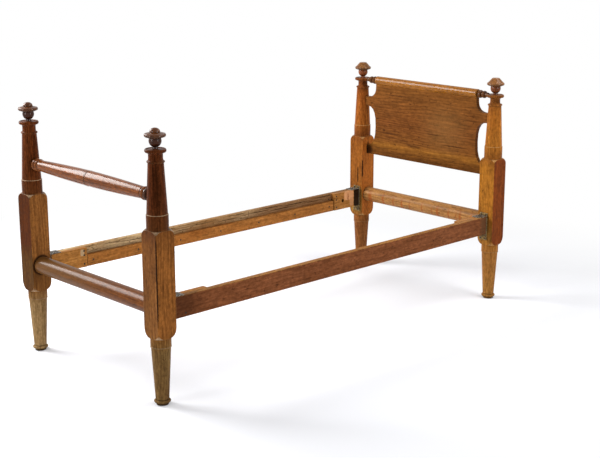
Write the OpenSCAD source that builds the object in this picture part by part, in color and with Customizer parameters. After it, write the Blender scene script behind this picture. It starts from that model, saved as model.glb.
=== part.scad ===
// Low-post bed: four turned posts tied by round end rails, a scroll-cut headboard
// under a turned roll, a turned blanket rail, and two side rails that lift off
// hook-and-slot irons.  Head of the bed towards +X, floor at z = 0.

/* [Bed] */
// Distance between the centres of the head posts and the foot posts
bed_length = 1950; // [1500:10:2100]
// Distance between the centres of the near posts and the far posts
bed_width = 842; // [780:2:1400]

/* [Post blocks] */
// Side of the square block of each post
block_side = 85; // [82:1:92]
// Height of the lower end of the block
block_bottom = 265; // [250:1:270]
// Height of the upper end of the block
block_top = 677; // [665:1:700]
// Height of the rounded shoulder at the lower end of the block
lower_shoulder_h = 42; // [20:1:46]
// Height of the rounded shoulder at the upper end of the block
upper_shoulder_h = 26; // [18:1:40]

/* [Post feet] */
// Diameter of the pad that stands on the floor
foot_pad_d = 46; // [40:1:54]
// Diameter of the bead above the pad
foot_bead_d = 64; // [60:1:72]
// Height of the middle of the bead above the floor
foot_bead_z = 14; // [12:1:20]
// Diameter of the ankle above the bead
ankle_d = 52; // [46:1:56]
// Diameter of the foot at its upper ring
foot_top_d = 75; // [66:1:78]
// Height of the ring at the top of the foot
foot_ring_z = 229; // [200:1:235]
// Diameter of the plain band between the foot ring and the block
band_d = 79; // [76:1:81]

/* [Post shafts] */
// Diameter of the short drum above the block
drum_d = 83; // [76:1:84]
// Height of the step at the top of the drum
drum_top = 735; // [725:1:750]
// Depth of the step from the drum to the foot of the tapered shaft
drum_step = 2; // [1:0.5:5]
// Diameter of the tapered shaft at its upper end
shaft_high_d = 59; // [52:1:62]
// Distance from the middle of the astragal bead up to the top of the collar
neck_l = 47; // [40:1:54]
// Diameter of the astragal bead
astragal_d = 67; // [64:1:72]
// Diameter of the neck under the collar of a head post
head_neck_d = 46; // [42:1:50]
// Diameter of the neck under the collar of a foot post
foot_neck_d = 54; // [48:1:56]
// Diameter of the collar that ends the post
collar_d = 80; // [76:1:84]
// Height of the top face of the collar
collar_top = 974; // [968:1:985]
// Thickness of the collar at its rim
collar_t = 13; // [12:1:18]

/* [Finials] */
// Height of the finial above the collar
finial_h = 76; // [70:1:90]
// Diameter of the finial at its widest
finial_d = 80; // [76:1:90]
// Diameter of the ball under the wide cap
finial_ball_d = 47; // [44:1:52]
// Diameter of the narrow neck of the finial
finial_neck_d = 20; // [19:1:26]
// Diameter of the flat top of a head finial
finial_crown_d = 32; // [26:1:40]
// Diameter of the button on top of a foot finial
finial_button_d = 39; // [30:1:44]
// Diameter of the dowel that holds the finial in the post
finial_dowel_d = 16; // [14:1:18]
// Length of the dowel
finial_dowel_l = 40; // [30:1:45]

/* [End rails] */
// Diameter of the round end rails
end_rail_d = 72; // [60:1:76]
// Height of the axis of the end rails
end_rail_z = 378; // [365:1:395]
// Diameter of the round tenon at each end of an end rail
end_tenon_d = 36; // [30:1:38]
// Length of the round tenon
end_tenon_l = 52; // [40:1:60]

/* [Blanket rail] */
// Height of the axis of the blanket rail between the foot posts
blanket_z = 800; // [780:1:830]
// Diameter of the blanket rail at its ends
blanket_end_d = 45; // [38:1:52]
// Diameter of the blanket rail at its middle
blanket_mid_d = 61; // [54:1:70]
// Diameter of the pin at each end of the blanket rail
blanket_pin_d = 20; // [14:1:24]
// Length of the pin inside the post
blanket_pin_l = 24; // [18:1:28]

/* [Headboard] */
// Thickness of the headboard panel
panel_t = 20; // [16:1:22]
// Height of the lower edge of the panel
panel_bottom = 592; // [530:1:600]
// Height of the tip of the lower lobe of the panel, where it meets the block
lobe_top = 637; // [625:1:642]
// Height of the lower edge of the ear that enters the shaft of the post
ear_bottom = 837; // [825:1:845]
// Height of the upper edge of the ear
ear_top = 883; // [870:1:890]
// Half of the width of the panel under the roll
panel_half_w = 320; // [270:1:330]
// Depth of the panel's tenons in the posts
panel_tenon_l = 14; // [10:1:16]
// Length of the bare tenon that shows between the panel and the far post
bare_tenon_l = 28; // [10:1:32]
// Depth of the cheek cut on each face of the bare tenon
bare_tenon_cut = 4; // [2:0.5:5]
// Diameter of the turned roll on top of the panel
roll_d = 42; // [36:1:46]
// Diameter of the pin at each end of the roll
roll_pin_d = 8; // [6:1:10]
// Length of the pin inside the collar of the post
roll_pin_l = 18; // [12:1:22]
// Depth of the groove under the roll that takes the panel
roll_groove = 6; // [4:0.5:7]

/* [Side rails] */
// Height of the lower edge of the side rails
rail_bottom = 323; // [316:1:328]
// Height of a side rail board
rail_h = 85; // [83:1:95]
// Thickness of a side rail board
rail_t = 25; // [20:1:28]
// Distance from the outer face of the post to the outer face of the rail
rail_inset = 26; // [20:1:28]
// Height of the ledger strip along the inner face of the rail
ledger_h = 50; // [35:1:60]
// Thickness of the ledger strip
ledger_t = 20; // [15:1:22]
// Length of the block at each end of a rail
end_block_l = 175; // [120:1:220]
// Thickness of the end block
end_block_t = 23; // [20:1:25]
// Gap between an end block and the ledger strip
ledger_gap = 4; // [0.5:0.5:8]

/* [Irons] */
// Width of the post plates and the rail irons
iron_w = 42; // [38:1:44]
// Thickness of the irons
iron_t = 5; // [4:0.5:6]
// Gap between the post plate and the rail iron
iron_gap = 3; // [1:0.5:5]
// How far the post plate reaches below the rail
plate_below = 31; // [24:1:34]
// How far the post plate reaches above the rail
plate_above = 13; // [12:1:20]
// Length of the flange on top of the rail
flange_l = 54; // [40:1:70]
// Thickness of the flange on top of the rail
flange_t = 3; // [2:0.5:4]
// Width of a hook
hook_w = 8; // [6:0.5:10]
// Height of the neck of a hook
hook_neck_h = 10; // [8:0.5:12]
// How far a hook drops behind the post plate
hook_drop = 15; // [10:0.5:16]
// Clearance round the hooks
hook_clear = 0.4; // [0.3:0.1:0.8]

/* [Fasteners] */
// Diameter of the screws' shanks
screw_d = 4.5; // [3.5:0.5:5]
// Diameter of the screws' countersunk heads
screw_head_d = 9; // [8:0.5:10]
// Length of the screws
screw_l = 32; // [20:1:34]

/* [Fit] */
// Clearance between a tenon, pin or dowel and its hole
joint_fit = 0.1; // [0.05:0.05:0.2]

/* [Hidden] */
$fn = 96;

// Signs of the four corners: head and foot along X, near and far along Y
HEAD = 1;
FOOT = -1;
FAR = 1;
NEAR = -1;

// Steps in an arc, or in a smooth shoulder, of a turned profile
ARC_STEPS = 6;
SHOULDER_STEPS = 8;
SCROLL_STEPS = 10;
BALL_STEPS = 9;
RIM_STEPS = 7;
BLANKET_STEPS = 9;
EDGE_STEPS = 3;
CROWN_STEPS = 5;
// Overlap of a cutter beyond the face that it cuts
CUT = 1;

half_length = bed_length / 2;
half_width = bed_width / 2;
block_half = block_side / 2;
block_corner_r = block_half * sqrt(2);
core_inset = 3;
core_r = block_half - core_inset;

// Turned foot
foot_bead_h = 14;
foot_ring_h = 5;
foot_ring_d = foot_top_d + 5;
foot_groove = 1;
foot_fillet_h = 2;

// Turned shaft and collar
drum_groove = 2;
shaft_low_d = drum_d - 2 * drum_step;
astragal_z = collar_top - neck_l;
astragal_h = 8;
astragal_top = astragal_z + astragal_h / 2;
collar_bottom = collar_top - collar_t;
neck_flare_h = (collar_bottom - astragal_top) * 0.3;
collar_z = collar_top - collar_t / 2;
collar_lip = 4;
collar_dish = 2.5;
collar_dish_w = 5;
function shaft_r(z) = let(t = (z - drum_top) / (astragal_z - drum_top))
    (shaft_low_d + (shaft_high_d - shaft_low_d) * t) / 2;

// Side rails, with the rail and its blocks centred on the irons
rail_outer_y = half_width + block_half - rail_inset;
rail_inner_y = rail_outer_y - rail_t;
block_inner_y = rail_inner_y - end_block_t;
rail_top = rail_bottom + rail_h;
iron_y = (rail_outer_y + block_inner_y) / 2;
post_inner_x = half_length - block_half;
plate_inner_x = post_inner_x - iron_t;
iron_end_x = plate_inner_x - iron_gap;
rail_end_x = iron_end_x - iron_t;
ledger_end_x = rail_end_x - end_block_l - ledger_gap;

board_ease = 2;
strip_ease = 1;

// Post plate, its slots and the hooks in them
plate_bottom = rail_bottom - plate_below;
plate_top = rail_top + plate_above;
plate_h = plate_top - plate_bottom;
hook_h = hook_neck_h + hook_drop;
slot_h = hook_h + 3 * hook_clear;
slot_w = hook_w + 2 * hook_clear;
slot_bridge = 12;
slot_drop = 4;
hook_pitch = slot_h + slot_bridge;
upper_slot_bottom = rail_top - slot_h - slot_drop;
slot_bottoms = [upper_slot_bottom - hook_pitch, upper_slot_bottom];
hook_nose_t = iron_t;
hook_reach = iron_gap + iron_t + hook_clear + hook_nose_t;
pocket_clear = 1;
pocket_depth = hook_clear + hook_nose_t + pocket_clear;
pocket_bottom = slot_bottoms[0] - hook_drop - pocket_clear;
pocket_top = upper_slot_bottom + slot_h;

// Fasteners
plate_screw_inset = 8;
plate_screw_dy = iron_w / 2 - plate_screw_inset;
plate_screw_zs = [plate_bottom + plate_screw_inset, plate_top - plate_screw_inset];
screw_cone_h = screw_head_d / 4;
screw_slot_w = 1.2;
screw_slot_h = 0.8;
block_screw_inset = 14;
block_screw_zs = [for (share = [0.17, 0.62, 0.84]) rail_bottom + rail_h * share];
flange_screw_inset = 15;
flange_screw_x = iron_end_x - flange_l + flange_screw_inset;
screw_point_l = 1;
screw_point_d = screw_d - 2;
end_screw_z = (rail_bottom + rail_top) / 2;
ledger_screw_inset = 30;
ledger_screw_count = 7;
ledger_screw_z = rail_bottom + ledger_h / 2;
bolt_hole_d = 17;
bolt_hole_depth = 15;
bolt_hole_inset = 116;
bolt_hole_z = (rail_bottom + rail_top) / 2;
rail_mid_y = (rail_outer_y + rail_inner_y) / 2;
end_block_mid_y = (rail_inner_y + block_inner_y) / 2;

// Headboard
panel_end_y = half_width - block_half + panel_tenon_l;
ear_z = (ear_bottom + ear_top) / 2;
ear_end_y = half_width - shaft_r(ear_z) + panel_tenon_l;
cut_edge_y = half_width - block_half;
panel_top = collar_z - roll_d / 2 + roll_groove - joint_fit;
upper_cut_h = 57;
scroll_power = 2.6;
bare_tip_h = 10;

// Roll and blanket rail
end_gap = 0.3;
roll_end_y = half_width - collar_d / 2 - end_gap;
roll_lip = 2;
roll_body_y = panel_half_w + roll_lip;
blanket_groove_d = blanket_end_d * 0.8;
blanket_end_y = half_width - shaft_r(blanket_z - blanket_groove_d / 2) - end_gap;

// Finial
finial_gap = 0.2;

wood_gold = "#b0702a";
wood_dark = "#5a2e18";
wood_brown = "#8a5a2b";
wood_red = "#7a4526";
iron_black = "#2a2622";
screw_grey = "#6e6a64";

// ---- Profiles ------------------------------------------------------------

// Points of an arc from one angle to another
function arc(cx, cz, r, from, to, steps = ARC_STEPS) =
    [for (i = [0 : steps]) let(a = from + (to - from) * i / steps)
        [cx + r * cos(a), cz + r * sin(a)]];

// Quarter round between the corner of the block and a turned part, level with z
// at the corner and h high
function shoulder(inner_r, z, h, from, to, steps = SHOULDER_STEPS) =
    [for (i = [0 : steps]) let(a = from + (to - from) * i / steps)
        [inner_r + (block_corner_r - inner_r) * cos(a), z + h * sin(a)]];

// Half bead on a vertical axis: bulges out to radius r over the height h
function bead(base_r, r, z, h, steps = ARC_STEPS) =
    [for (i = [0 : steps]) let(a = -90 + 180 * i / steps)
        [base_r + (r - base_r) * cos(a), z + h / 2 * sin(a)]];

// Hollow that starts upright at one point and ends level at the other
function cavetto(r0, z0, r1, z1, steps = ARC_STEPS) =
    [for (i = [0 : steps]) let(a = 90 * i / steps)
        [r1 + (r0 - r1) * cos(a), z0 + (z1 - z0) * sin(a)]];

// Quarter of a rounded square curve, for the scrolls of the panel
function scroll(cy, cz, a, b, from, to, steps = SCROLL_STEPS) =
    [for (i = [0 : steps]) let(t = from + (to - from) * i / steps)
        [cy + a * sign(cos(t)) * pow(abs(cos(t)), 2 / scroll_power),
         cz + b * sign(sin(t)) * pow(abs(sin(t)), 2 / scroll_power)]];

// Rectangle with rounded corners
function rounded(w, h, r, steps = EDGE_STEPS) = concat(
    arc(w - r, r, r, -90, 0, steps), arc(w - r, h - r, r, 0, 90, steps),
    arc(r, h - r, r, 90, 180, steps), arc(r, r, r, 180, 270, steps));

// Half of a profile and its mirror image, for a piece that lies across the bed
function reversed(points) = [for (i = [len(points) - 1 : -1 : 0]) points[i]];
function mirrored(points) = [for (p = reversed(points)) [p[0], -p[1]]];
function both_ends(half_points) = concat(half_points, mirrored(half_points));

// ---- Placing -------------------------------------------------------------

// Puts a piece that is modelled at the head, far corner at another corner
module at_corner(end, side) {
    mirror([end == FOOT ? 1 : 0, 0, 0])
        mirror([0, side == NEAR ? 1 : 0, 0])
            children();
}

// Puts a piece modelled on its own vertical axis on the head, far post's axis
module on_post() {
    translate([half_length, half_width, 0]) children();
}

// Turns a profile about an axis that runs across the bed at height z
module turned_across(z) {
    translate([0, 0, z]) rotate([-90, 0, 0]) rotate_extrude() children();
}

// ---- Posts ---------------------------------------------------------------

foot_points = concat(
    [[0, 0], [foot_pad_d / 2, 0], [foot_pad_d / 2, foot_bead_z - foot_bead_h / 2]],
    bead(foot_pad_d / 2, foot_bead_d / 2, foot_bead_z, foot_bead_h),
    [[ankle_d / 2, foot_bead_z + foot_bead_h / 2 + foot_fillet_h],
     [foot_top_d / 2, foot_ring_z - foot_ring_h / 2]],
    bead(foot_top_d / 2, foot_ring_d / 2, foot_ring_z, foot_ring_h),
    [[band_d / 2 - foot_groove, foot_ring_z + foot_ring_h / 2],
     [band_d / 2, foot_ring_z + foot_ring_h / 2 + foot_groove],
     [band_d / 2, block_bottom]]);

function shaft_points(neck_d) = concat(
    [[drum_d / 2, block_top], [drum_d / 2, drum_top - drum_groove],
     [drum_d / 2 - drum_groove / 2, drum_top - drum_groove / 2],
     [shaft_low_d / 2, drum_top], [shaft_high_d / 2, astragal_z - astragal_h / 2]],
    bead(shaft_high_d / 2, astragal_d / 2, astragal_z, astragal_h),
    reversed(cavetto(neck_d / 2, astragal_top + neck_flare_h, shaft_high_d / 2, astragal_top)),
    cavetto(neck_d / 2, collar_bottom - neck_flare_h, collar_d / 2 - collar_lip, collar_bottom),
    bead(collar_d / 2 - collar_lip, collar_d / 2, collar_z, collar_t, RIM_STEPS),
    [[collar_d / 2 - collar_lip - collar_dish_w, collar_top - collar_dish],
     [finial_neck_d / 2 + collar_dish_w, collar_top], [0, collar_top]]);

// Turned parts of a post, with a core through the block
module turned_post(neck_d) {
    rotate_extrude()
        polygon(concat(foot_points, [[core_r, block_bottom], [core_r, block_top]],
            shaft_points(neck_d)));
}

// Square block whose ends are turned to rounded shoulders, which leaves the
// four faces with arched ends
module post_block() {
    intersection() {
        translate([-block_half, -block_half, block_bottom])
            cube([block_side, block_side, block_top - block_bottom]);
        rotate_extrude()
            polygon(concat([[0, block_bottom]],
                shoulder(band_d / 2, block_bottom + lower_shoulder_h, lower_shoulder_h, -90, 0),
                shoulder(drum_d / 2, block_top - upper_shoulder_h, upper_shoulder_h, 0, 90),
                [[0, block_top]]));
    }
}

// Hole for a round tenon or pin, from a face on the inner side of the post
module pin_hole(d, l, face_y, z) {
    translate([0, l - face_y + CUT, z]) rotate([90, 0, 0])
        cylinder(d = d + 2 * joint_fit, h = l + 2 * CUT);
}

// Post with the holes that both ends of the bed need
module post_body(neck_d) {
    difference() {
        union() {
            turned_post(neck_d);
            post_block();
        }
        translate([0, 0, collar_top - finial_dowel_l - CUT])
            cylinder(d = finial_dowel_d + 2 * joint_fit, h = finial_dowel_l + 2 * CUT);
        pin_hole(end_tenon_d, end_tenon_l, block_half, end_rail_z);
        translate([-block_half - CUT, iron_y - half_width - slot_w / 2, pocket_bottom])
            cube([pocket_depth + CUT, slot_w, pocket_top - pocket_bottom]);
        for (z = plate_screw_zs, side = [-1, 1])
            translate([-block_half, iron_y - half_width + side * plate_screw_dy, z])
                rotate([0, 90, 0]) translate([0, 0, -CUT])
                    cylinder(d = screw_d + 2 * joint_fit, h = screw_l - iron_t + 2 * CUT);
    }
}

module head_post(side) {
    at_corner(HEAD, side) on_post() difference() {
        post_body(head_neck_d);
        // Mortise for the lower lobe of the panel
        translate([-panel_t / 2 - joint_fit, -block_half - CUT, panel_bottom - joint_fit])
            cube([panel_t + 2 * joint_fit, panel_tenon_l + CUT + joint_fit,
                  lobe_top - panel_bottom + 2 * joint_fit]);
        // Mortise for the ear of the panel
        translate([-panel_t / 2 - joint_fit, -block_half, ear_bottom - joint_fit])
            cube([panel_t + 2 * joint_fit, block_half - shaft_r(ear_z) + panel_tenon_l + joint_fit,
                  ear_top - ear_bottom + 2 * joint_fit]);
        // Hole for the pin of the roll
        pin_hole(roll_pin_d, roll_pin_l, collar_d / 2, collar_z);
    }
}

module foot_post(side) {
    at_corner(FOOT, side) on_post() difference() {
        post_body(foot_neck_d);
        // Hole for the pin of the blanket rail
        pin_hole(blanket_pin_d, blanket_pin_l, shaft_r(blanket_z), blanket_z);
    }
}

module near_head_post() color(wood_gold) head_post(NEAR);
module far_head_post() color(wood_gold) head_post(FAR);
module near_foot_post() color(wood_brown) foot_post(NEAR);
module far_foot_post() color(wood_brown) foot_post(FAR);

// ---- Finials -------------------------------------------------------------

// Heights inside the finial, above the top of the collar
finial_cap_h = 27;
finial_disc_z = finial_h - finial_cap_h;
finial_rim_h = 13;
finial_rim_lip = 5;
finial_ball_z = finial_disc_z - 21;
finial_ball_r = finial_ball_d / 2;
finial_ball_from = -acos(finial_neck_d / finial_ball_d);
finial_ball_to = 22;
finial_collar_w = 1;
finial_crown_ease = 2;
finial_button_z = finial_h - 17;
finial_button_groove = 1;
finial_button_rim = 2;
finial_dome_h = 15;
finial_dowel_ease = 1;
finial_r = finial_d / 2;
FINIAL_RIM_STEPS = 6;

// Turned finial up to its wide cap: dowel, narrow neck, ball and thick rim
finial_points = concat(
    [[0, -finial_dowel_l], [finial_dowel_d / 2 - finial_dowel_ease, -finial_dowel_l],
     [finial_dowel_d / 2, finial_dowel_ease - finial_dowel_l], [finial_dowel_d / 2, finial_gap],
     [finial_neck_d / 2 + finial_collar_w, finial_gap]],
    [for (i = [0 : BALL_STEPS])
        let(a = finial_ball_from + (finial_ball_to - finial_ball_from) * i / BALL_STEPS)
        [finial_ball_r * cos(a), finial_ball_z + finial_ball_r * sin(a)]],
    bead(finial_r - finial_rim_lip, finial_r, finial_disc_z, finial_rim_h, FINIAL_RIM_STEPS));

// Head finials end in a plain cone with a flat top
head_crown_points = [
    [finial_crown_d / 2 + finial_crown_ease, finial_h - finial_crown_ease],
    [finial_crown_d / 2, finial_h], [0, finial_h]];

// Foot finials have a hollowed brim and a round button
foot_crown_points = concat(
    [[finial_button_d / 2 + finial_button_rim, finial_button_z],
     [finial_button_d / 2 - finial_button_groove, finial_button_z]],
    [for (i = [0 : CROWN_STEPS]) let(a = 90 * i / CROWN_STEPS)
        [finial_button_d / 2 * cos(a), finial_h - finial_dome_h + finial_dome_h * sin(a)]]);

module finial(end, side) {
    at_corner(end, side) on_post() translate([0, 0, collar_top]) rotate_extrude()
        polygon(concat(finial_points, end == HEAD ? head_crown_points : foot_crown_points));
}

module near_head_finial() color(wood_gold) finial(HEAD, NEAR);
module far_head_finial() color(wood_gold) finial(HEAD, FAR);
module near_foot_finial() color(wood_dark) finial(FOOT, NEAR);
module far_foot_finial() color(wood_dark) finial(FOOT, FAR);

// ---- End rails, blanket rail and roll ------------------------------------

// Round rail with eased shoulders and a tenon at each end
end_rail_y = half_width - block_half;
end_rail_ease_r = 4;
end_tenon_ease = 1;
end_tenon_end_y = end_rail_y + end_tenon_l - joint_fit;
end_rail_points = concat(
    [[0, end_tenon_end_y], [end_tenon_d / 2 - end_tenon_ease, end_tenon_end_y],
     [end_tenon_d / 2, end_tenon_end_y - end_tenon_ease], [end_tenon_d / 2, end_rail_y]],
    arc(end_rail_d / 2 - end_rail_ease_r, end_rail_y - end_rail_ease_r, end_rail_ease_r, 90, 0));

module end_rail(end) {
    at_corner(end, FAR) translate([half_length, 0, 0])
        turned_across(end_rail_z) polygon(both_ends(end_rail_points));
}

module head_end_rail() color(wood_gold) end_rail(HEAD);
module foot_end_rail() color(wood_dark) end_rail(FOOT);

// Blanket rail: swells to a ring at its middle, with two fat beads at each end
blanket_bead_w = 19;
blanket_groove_w = 3;
blanket_bead_d = blanket_end_d * 1.15;
blanket_shoulder_d = blanket_end_d - 4;
blanket_shoulder_l = 1;
blanket_bead_ys = [for (i = [0, 1]) blanket_end_y - blanket_bead_w / 2 - i * blanket_bead_w];
blanket_body_y = blanket_bead_ys[1] - blanket_bead_w / 2 - blanket_groove_w;
blanket_ring_w = 9;
blanket_ring_d = blanket_mid_d + 1;
blanket_score = 1.2;
blanket_swell = 1.7;

// Radius of the swelling body at a distance from its middle
function blanket_r(y) = let(t = y / blanket_body_y)
    (blanket_mid_d - (blanket_mid_d - blanket_end_d) * pow(t, blanket_swell)) / 2;

blanket_points = concat(
    [[0, blanket_end_y + blanket_pin_l], [blanket_pin_d / 2, blanket_end_y + blanket_pin_l],
     [blanket_pin_d / 2, blanket_end_y]],
    blanket_bead(0), [for (i = [1 : ARC_STEPS]) blanket_bead(1)[i]],
    [[blanket_groove_d / 2, blanket_body_y + 2 * blanket_shoulder_l],
     [blanket_shoulder_d / 2, blanket_body_y + blanket_shoulder_l]],
    [for (i = [BLANKET_STEPS : -1 : 0])
        let(y = blanket_ring_w / 2 + (blanket_body_y - blanket_ring_w / 2) * i / BLANKET_STEPS)
        [blanket_r(y), y]],
    [[blanket_mid_d / 2 - blanket_score, blanket_ring_w / 2 - blanket_score],
     [blanket_ring_d / 2, blanket_ring_w / 2 - 2 * blanket_score], [blanket_ring_d / 2, 0]]);

function blanket_bead(i) = reversed(
    bead(blanket_groove_d / 2, blanket_bead_d / 2, blanket_bead_ys[i], blanket_bead_w));

module blanket_rail() color(wood_red)
    translate([FOOT * half_length, 0, 0])
        turned_across(blanket_z) polygon(both_ends(blanket_points));

// Roll over the headboard, with turned beads at its ends and a groove for the panel
roll_bead_ds = [for (share = [0.9, 0.82]) roll_d * share];
roll_bead_w = (roll_end_y - roll_body_y) * 0.34;
roll_bead_pitch = roll_bead_w * 1.15;
roll_collar_d = roll_d * 0.5;
roll_ease = 4;
roll_bead_ys = [for (i = [0, 1]) roll_body_y + roll_bead_w * 0.65 + i * roll_bead_pitch];
roll_points = concat(
    [[0, roll_end_y + roll_pin_l], [roll_pin_d / 2, roll_end_y + roll_pin_l],
     [roll_pin_d / 2, roll_end_y], [roll_collar_d / 2, roll_end_y],
     [roll_collar_d / 2, roll_bead_ys[1] + roll_bead_w / 2]],
    roll_bead(1), roll_bead(0),
    [[roll_collar_d / 2, roll_body_y]],
    arc(roll_d / 2 - roll_ease, roll_body_y - roll_ease, roll_ease, 90, 0));

function roll_bead(i) = reversed(
    bead(roll_collar_d / 2, roll_bead_ds[i] / 2, roll_bead_ys[i], roll_bead_w));

module headboard_roll() color(wood_gold) translate([half_length, 0, 0]) difference() {
    turned_across(collar_z) polygon(both_ends(roll_points));
    translate([-panel_t / 2 - joint_fit, -panel_half_w - joint_fit, 0])
        cube([panel_t + 2 * joint_fit, 2 * (panel_half_w + joint_fit), panel_top + joint_fit]);
}

// ---- Headboard panel -----------------------------------------------------

lower_cut_z = (lobe_top + ear_bottom) / 2;
lower_cut_h = (ear_bottom - lobe_top) / 2;
cut_depth = cut_edge_y - panel_half_w;

// Right half of the outline, from the middle of the lower edge to the top edge
panel_points = concat(
    [[0, panel_bottom], [panel_end_y, panel_bottom], [panel_end_y, lobe_top]],
    scroll(cut_edge_y, lower_cut_z, cut_depth, lower_cut_h, 270, 90),
    [[ear_end_y, ear_bottom], [ear_end_y, ear_top]],
    scroll(cut_edge_y, ear_top + upper_cut_h, cut_depth, upper_cut_h, 270, 180),
    [[panel_half_w, panel_top], [0, panel_top]]);

module headboard_panel() color(wood_brown) translate([half_length, 0, 0]) difference() {
    for (side = [-1, 1])
        mirror([0, side == -1 ? 1 : 0, 0])
            rotate([90, 0, 90]) translate([0, 0, -panel_t / 2])
                linear_extrude(panel_t) polygon(panel_points);
    // Cheeks cut from the tenon that shows beside the far post
    for (face = [-1, 1])
        translate([face * (panel_t / 2 + CUT - (bare_tenon_cut + CUT) / 2),
                   panel_end_y + CUT - (panel_tenon_l + bare_tenon_l + CUT) / 2,
                   (panel_bottom + lobe_top - bare_tip_h) / 2 - CUT / 2])
            cube([bare_tenon_cut + CUT, panel_tenon_l + bare_tenon_l + CUT,
                  lobe_top - bare_tip_h - panel_bottom + CUT], center = true);
}

// ---- Irons ---------------------------------------------------------------

// Post plate, screwed to the post, with a slot for each hook
module post_plate(end, side) {
    at_corner(end, side) difference() {
        translate([plate_inner_x, iron_y - iron_w / 2, plate_bottom])
            cube([iron_t, iron_w, plate_h]);
        for (z = slot_bottoms)
            translate([plate_inner_x - CUT, iron_y - slot_w / 2, z])
                cube([iron_t + 2 * CUT, slot_w, slot_h]);
        for (z = plate_screw_zs, dy = [-plate_screw_dy, plate_screw_dy])
            translate([plate_inner_x, iron_y + dy, z]) rotate([0, 90, 0]) screw_hole(iron_t + CUT);
    }
}

module near_head_post_plate() color(iron_black) post_plate(HEAD, NEAR);
module far_head_post_plate() color(iron_black) post_plate(HEAD, FAR);
module near_foot_post_plate() color(iron_black) post_plate(FOOT, NEAR);
module far_foot_post_plate() color(iron_black) post_plate(FOOT, FAR);

// Rail iron: end plate, flange on top of the rail, and two hooks
module rail_iron(end, side) {
    at_corner(end, side) difference() {
        union() {
            translate([rail_end_x, iron_y - iron_w / 2, rail_bottom])
                cube([iron_t, iron_w, rail_h + flange_t]);
            translate([iron_end_x - flange_l, iron_y - iron_w / 2, rail_top])
                cube([flange_l, iron_w, flange_t]);
            for (z = slot_bottoms) hook(z + hook_clear);
        }
        at_iron_screws() screw_hole(screw_l);
    }
}

// Hook that passes through a slot and drops behind the post plate
module hook(z) {
    translate([iron_end_x - CUT, iron_y - hook_w / 2, z])
        cube([CUT + hook_reach, hook_w, hook_neck_h]);
    translate([iron_end_x + hook_reach - hook_nose_t, iron_y - hook_w / 2, z - hook_drop])
        cube([hook_nose_t, hook_w, hook_h]);
}

// ---- Fasteners -----------------------------------------------------------

// Countersunk screw, its head flush with z = 0 and its shank along +Z
module screw() {
    difference() {
        union() {
            cylinder(d1 = screw_head_d, d2 = screw_d, h = screw_cone_h);
            cylinder(d = screw_d, h = screw_l - screw_point_l);
            translate([0, 0, screw_l - screw_point_l])
                cylinder(d1 = screw_d, d2 = screw_point_d, h = screw_point_l);
        }
        translate([-screw_head_d, -screw_slot_w / 2, -CUT])
            cube([2 * screw_head_d, screw_slot_w, screw_slot_h + CUT]);
    }
}

// Countersunk hole for a screw, as deep as asked
module screw_hole(depth) {
    translate([0, 0, -CUT]) cylinder(d = screw_d + 2 * joint_fit, h = depth + CUT);
    cylinder(d1 = screw_head_d + 2 * joint_fit, d2 = screw_d + 2 * joint_fit, h = screw_cone_h);
    translate([0, 0, -CUT]) cylinder(d = screw_head_d + 2 * joint_fit, h = CUT);
}

// Screws that hold the post plates: each stands in its plate's countersink
module plate_screws(end, side) {
    at_corner(end, side)
        for (z = plate_screw_zs, dy = [-plate_screw_dy, plate_screw_dy])
            translate([plate_inner_x, iron_y + dy, z]) rotate([0, 90, 0]) screw();
}

module post_plate_screws() color(screw_grey)
    for (end = [HEAD, FOOT], side = [NEAR, FAR]) plate_screws(end, side);

// ---- Side rails ----------------------------------------------------------
// Every piece is modelled for the far rail and mirrored for the near one.

// Bar along the bed with eased edges, from one end to the other
module bar(from_x, to_x, y, z, w, h, ease) {
    translate([from_x, y, z]) rotate([90, 0, 90]) linear_extrude(to_x - from_x)
        polygon(rounded(w, h, ease));
}

// Places a screw or its hole on each screw of one end of a far rail: across the
// end block, down through the flange, and along the rail through the end plate
module at_block_screws() {
    for (z = block_screw_zs)
        translate([rail_end_x - end_block_l + block_screw_inset, block_inner_y, z])
            rotate([-90, 0, 0]) children();
}

module at_iron_screws() {
    for (y = [rail_mid_y, end_block_mid_y]) {
        translate([flange_screw_x, y, rail_top + flange_t]) rotate([180, 0, 0]) children();
        translate([iron_end_x, y, end_screw_z]) rotate([0, -90, 0]) children();
    }
}

module at_ledger_screws() {
    for (i = [0 : ledger_screw_count - 1])
        translate([(2 * i / (ledger_screw_count - 1) - 1) * (ledger_end_x - ledger_screw_inset),
                   rail_inner_y - ledger_t, ledger_screw_z])
            rotate([-90, 0, 0]) children();
}

// Every screw hole of a far rail
module rail_screw_holes() {
    for (end = [HEAD, FOOT]) at_corner(end, FAR) {
        at_block_screws() screw_hole(screw_l + CUT);
        at_iron_screws() screw_hole(screw_l + CUT);
    }
    at_ledger_screws() screw_hole(screw_l + CUT);
}

// Old bolt hole in the inner face of an end block
module old_bolt_hole() {
    translate([rail_end_x - bolt_hole_inset, block_inner_y - CUT, bolt_hole_z])
        rotate([-90, 0, 0]) cylinder(d = bolt_hole_d, h = bolt_hole_depth + CUT);
}

module rail_board(side) {
    at_corner(HEAD, side) difference() {
        bar(-rail_end_x, rail_end_x, rail_inner_y, rail_bottom, rail_t, rail_h, board_ease);
        rail_screw_holes();
    }
}

module rail_ledger(side) {
    at_corner(HEAD, side) difference() {
        bar(-ledger_end_x, ledger_end_x, rail_inner_y - ledger_t, rail_bottom,
            ledger_t, ledger_h, strip_ease);
        rail_screw_holes();
    }
}

module rail_block(end, side) {
    at_corner(end, side) difference() {
        bar(rail_end_x - end_block_l, rail_end_x, block_inner_y, rail_bottom,
            end_block_t, rail_h, strip_ease);
        rail_screw_holes();
        if (end == HEAD && side == FAR) old_bolt_hole();
    }
}

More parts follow.
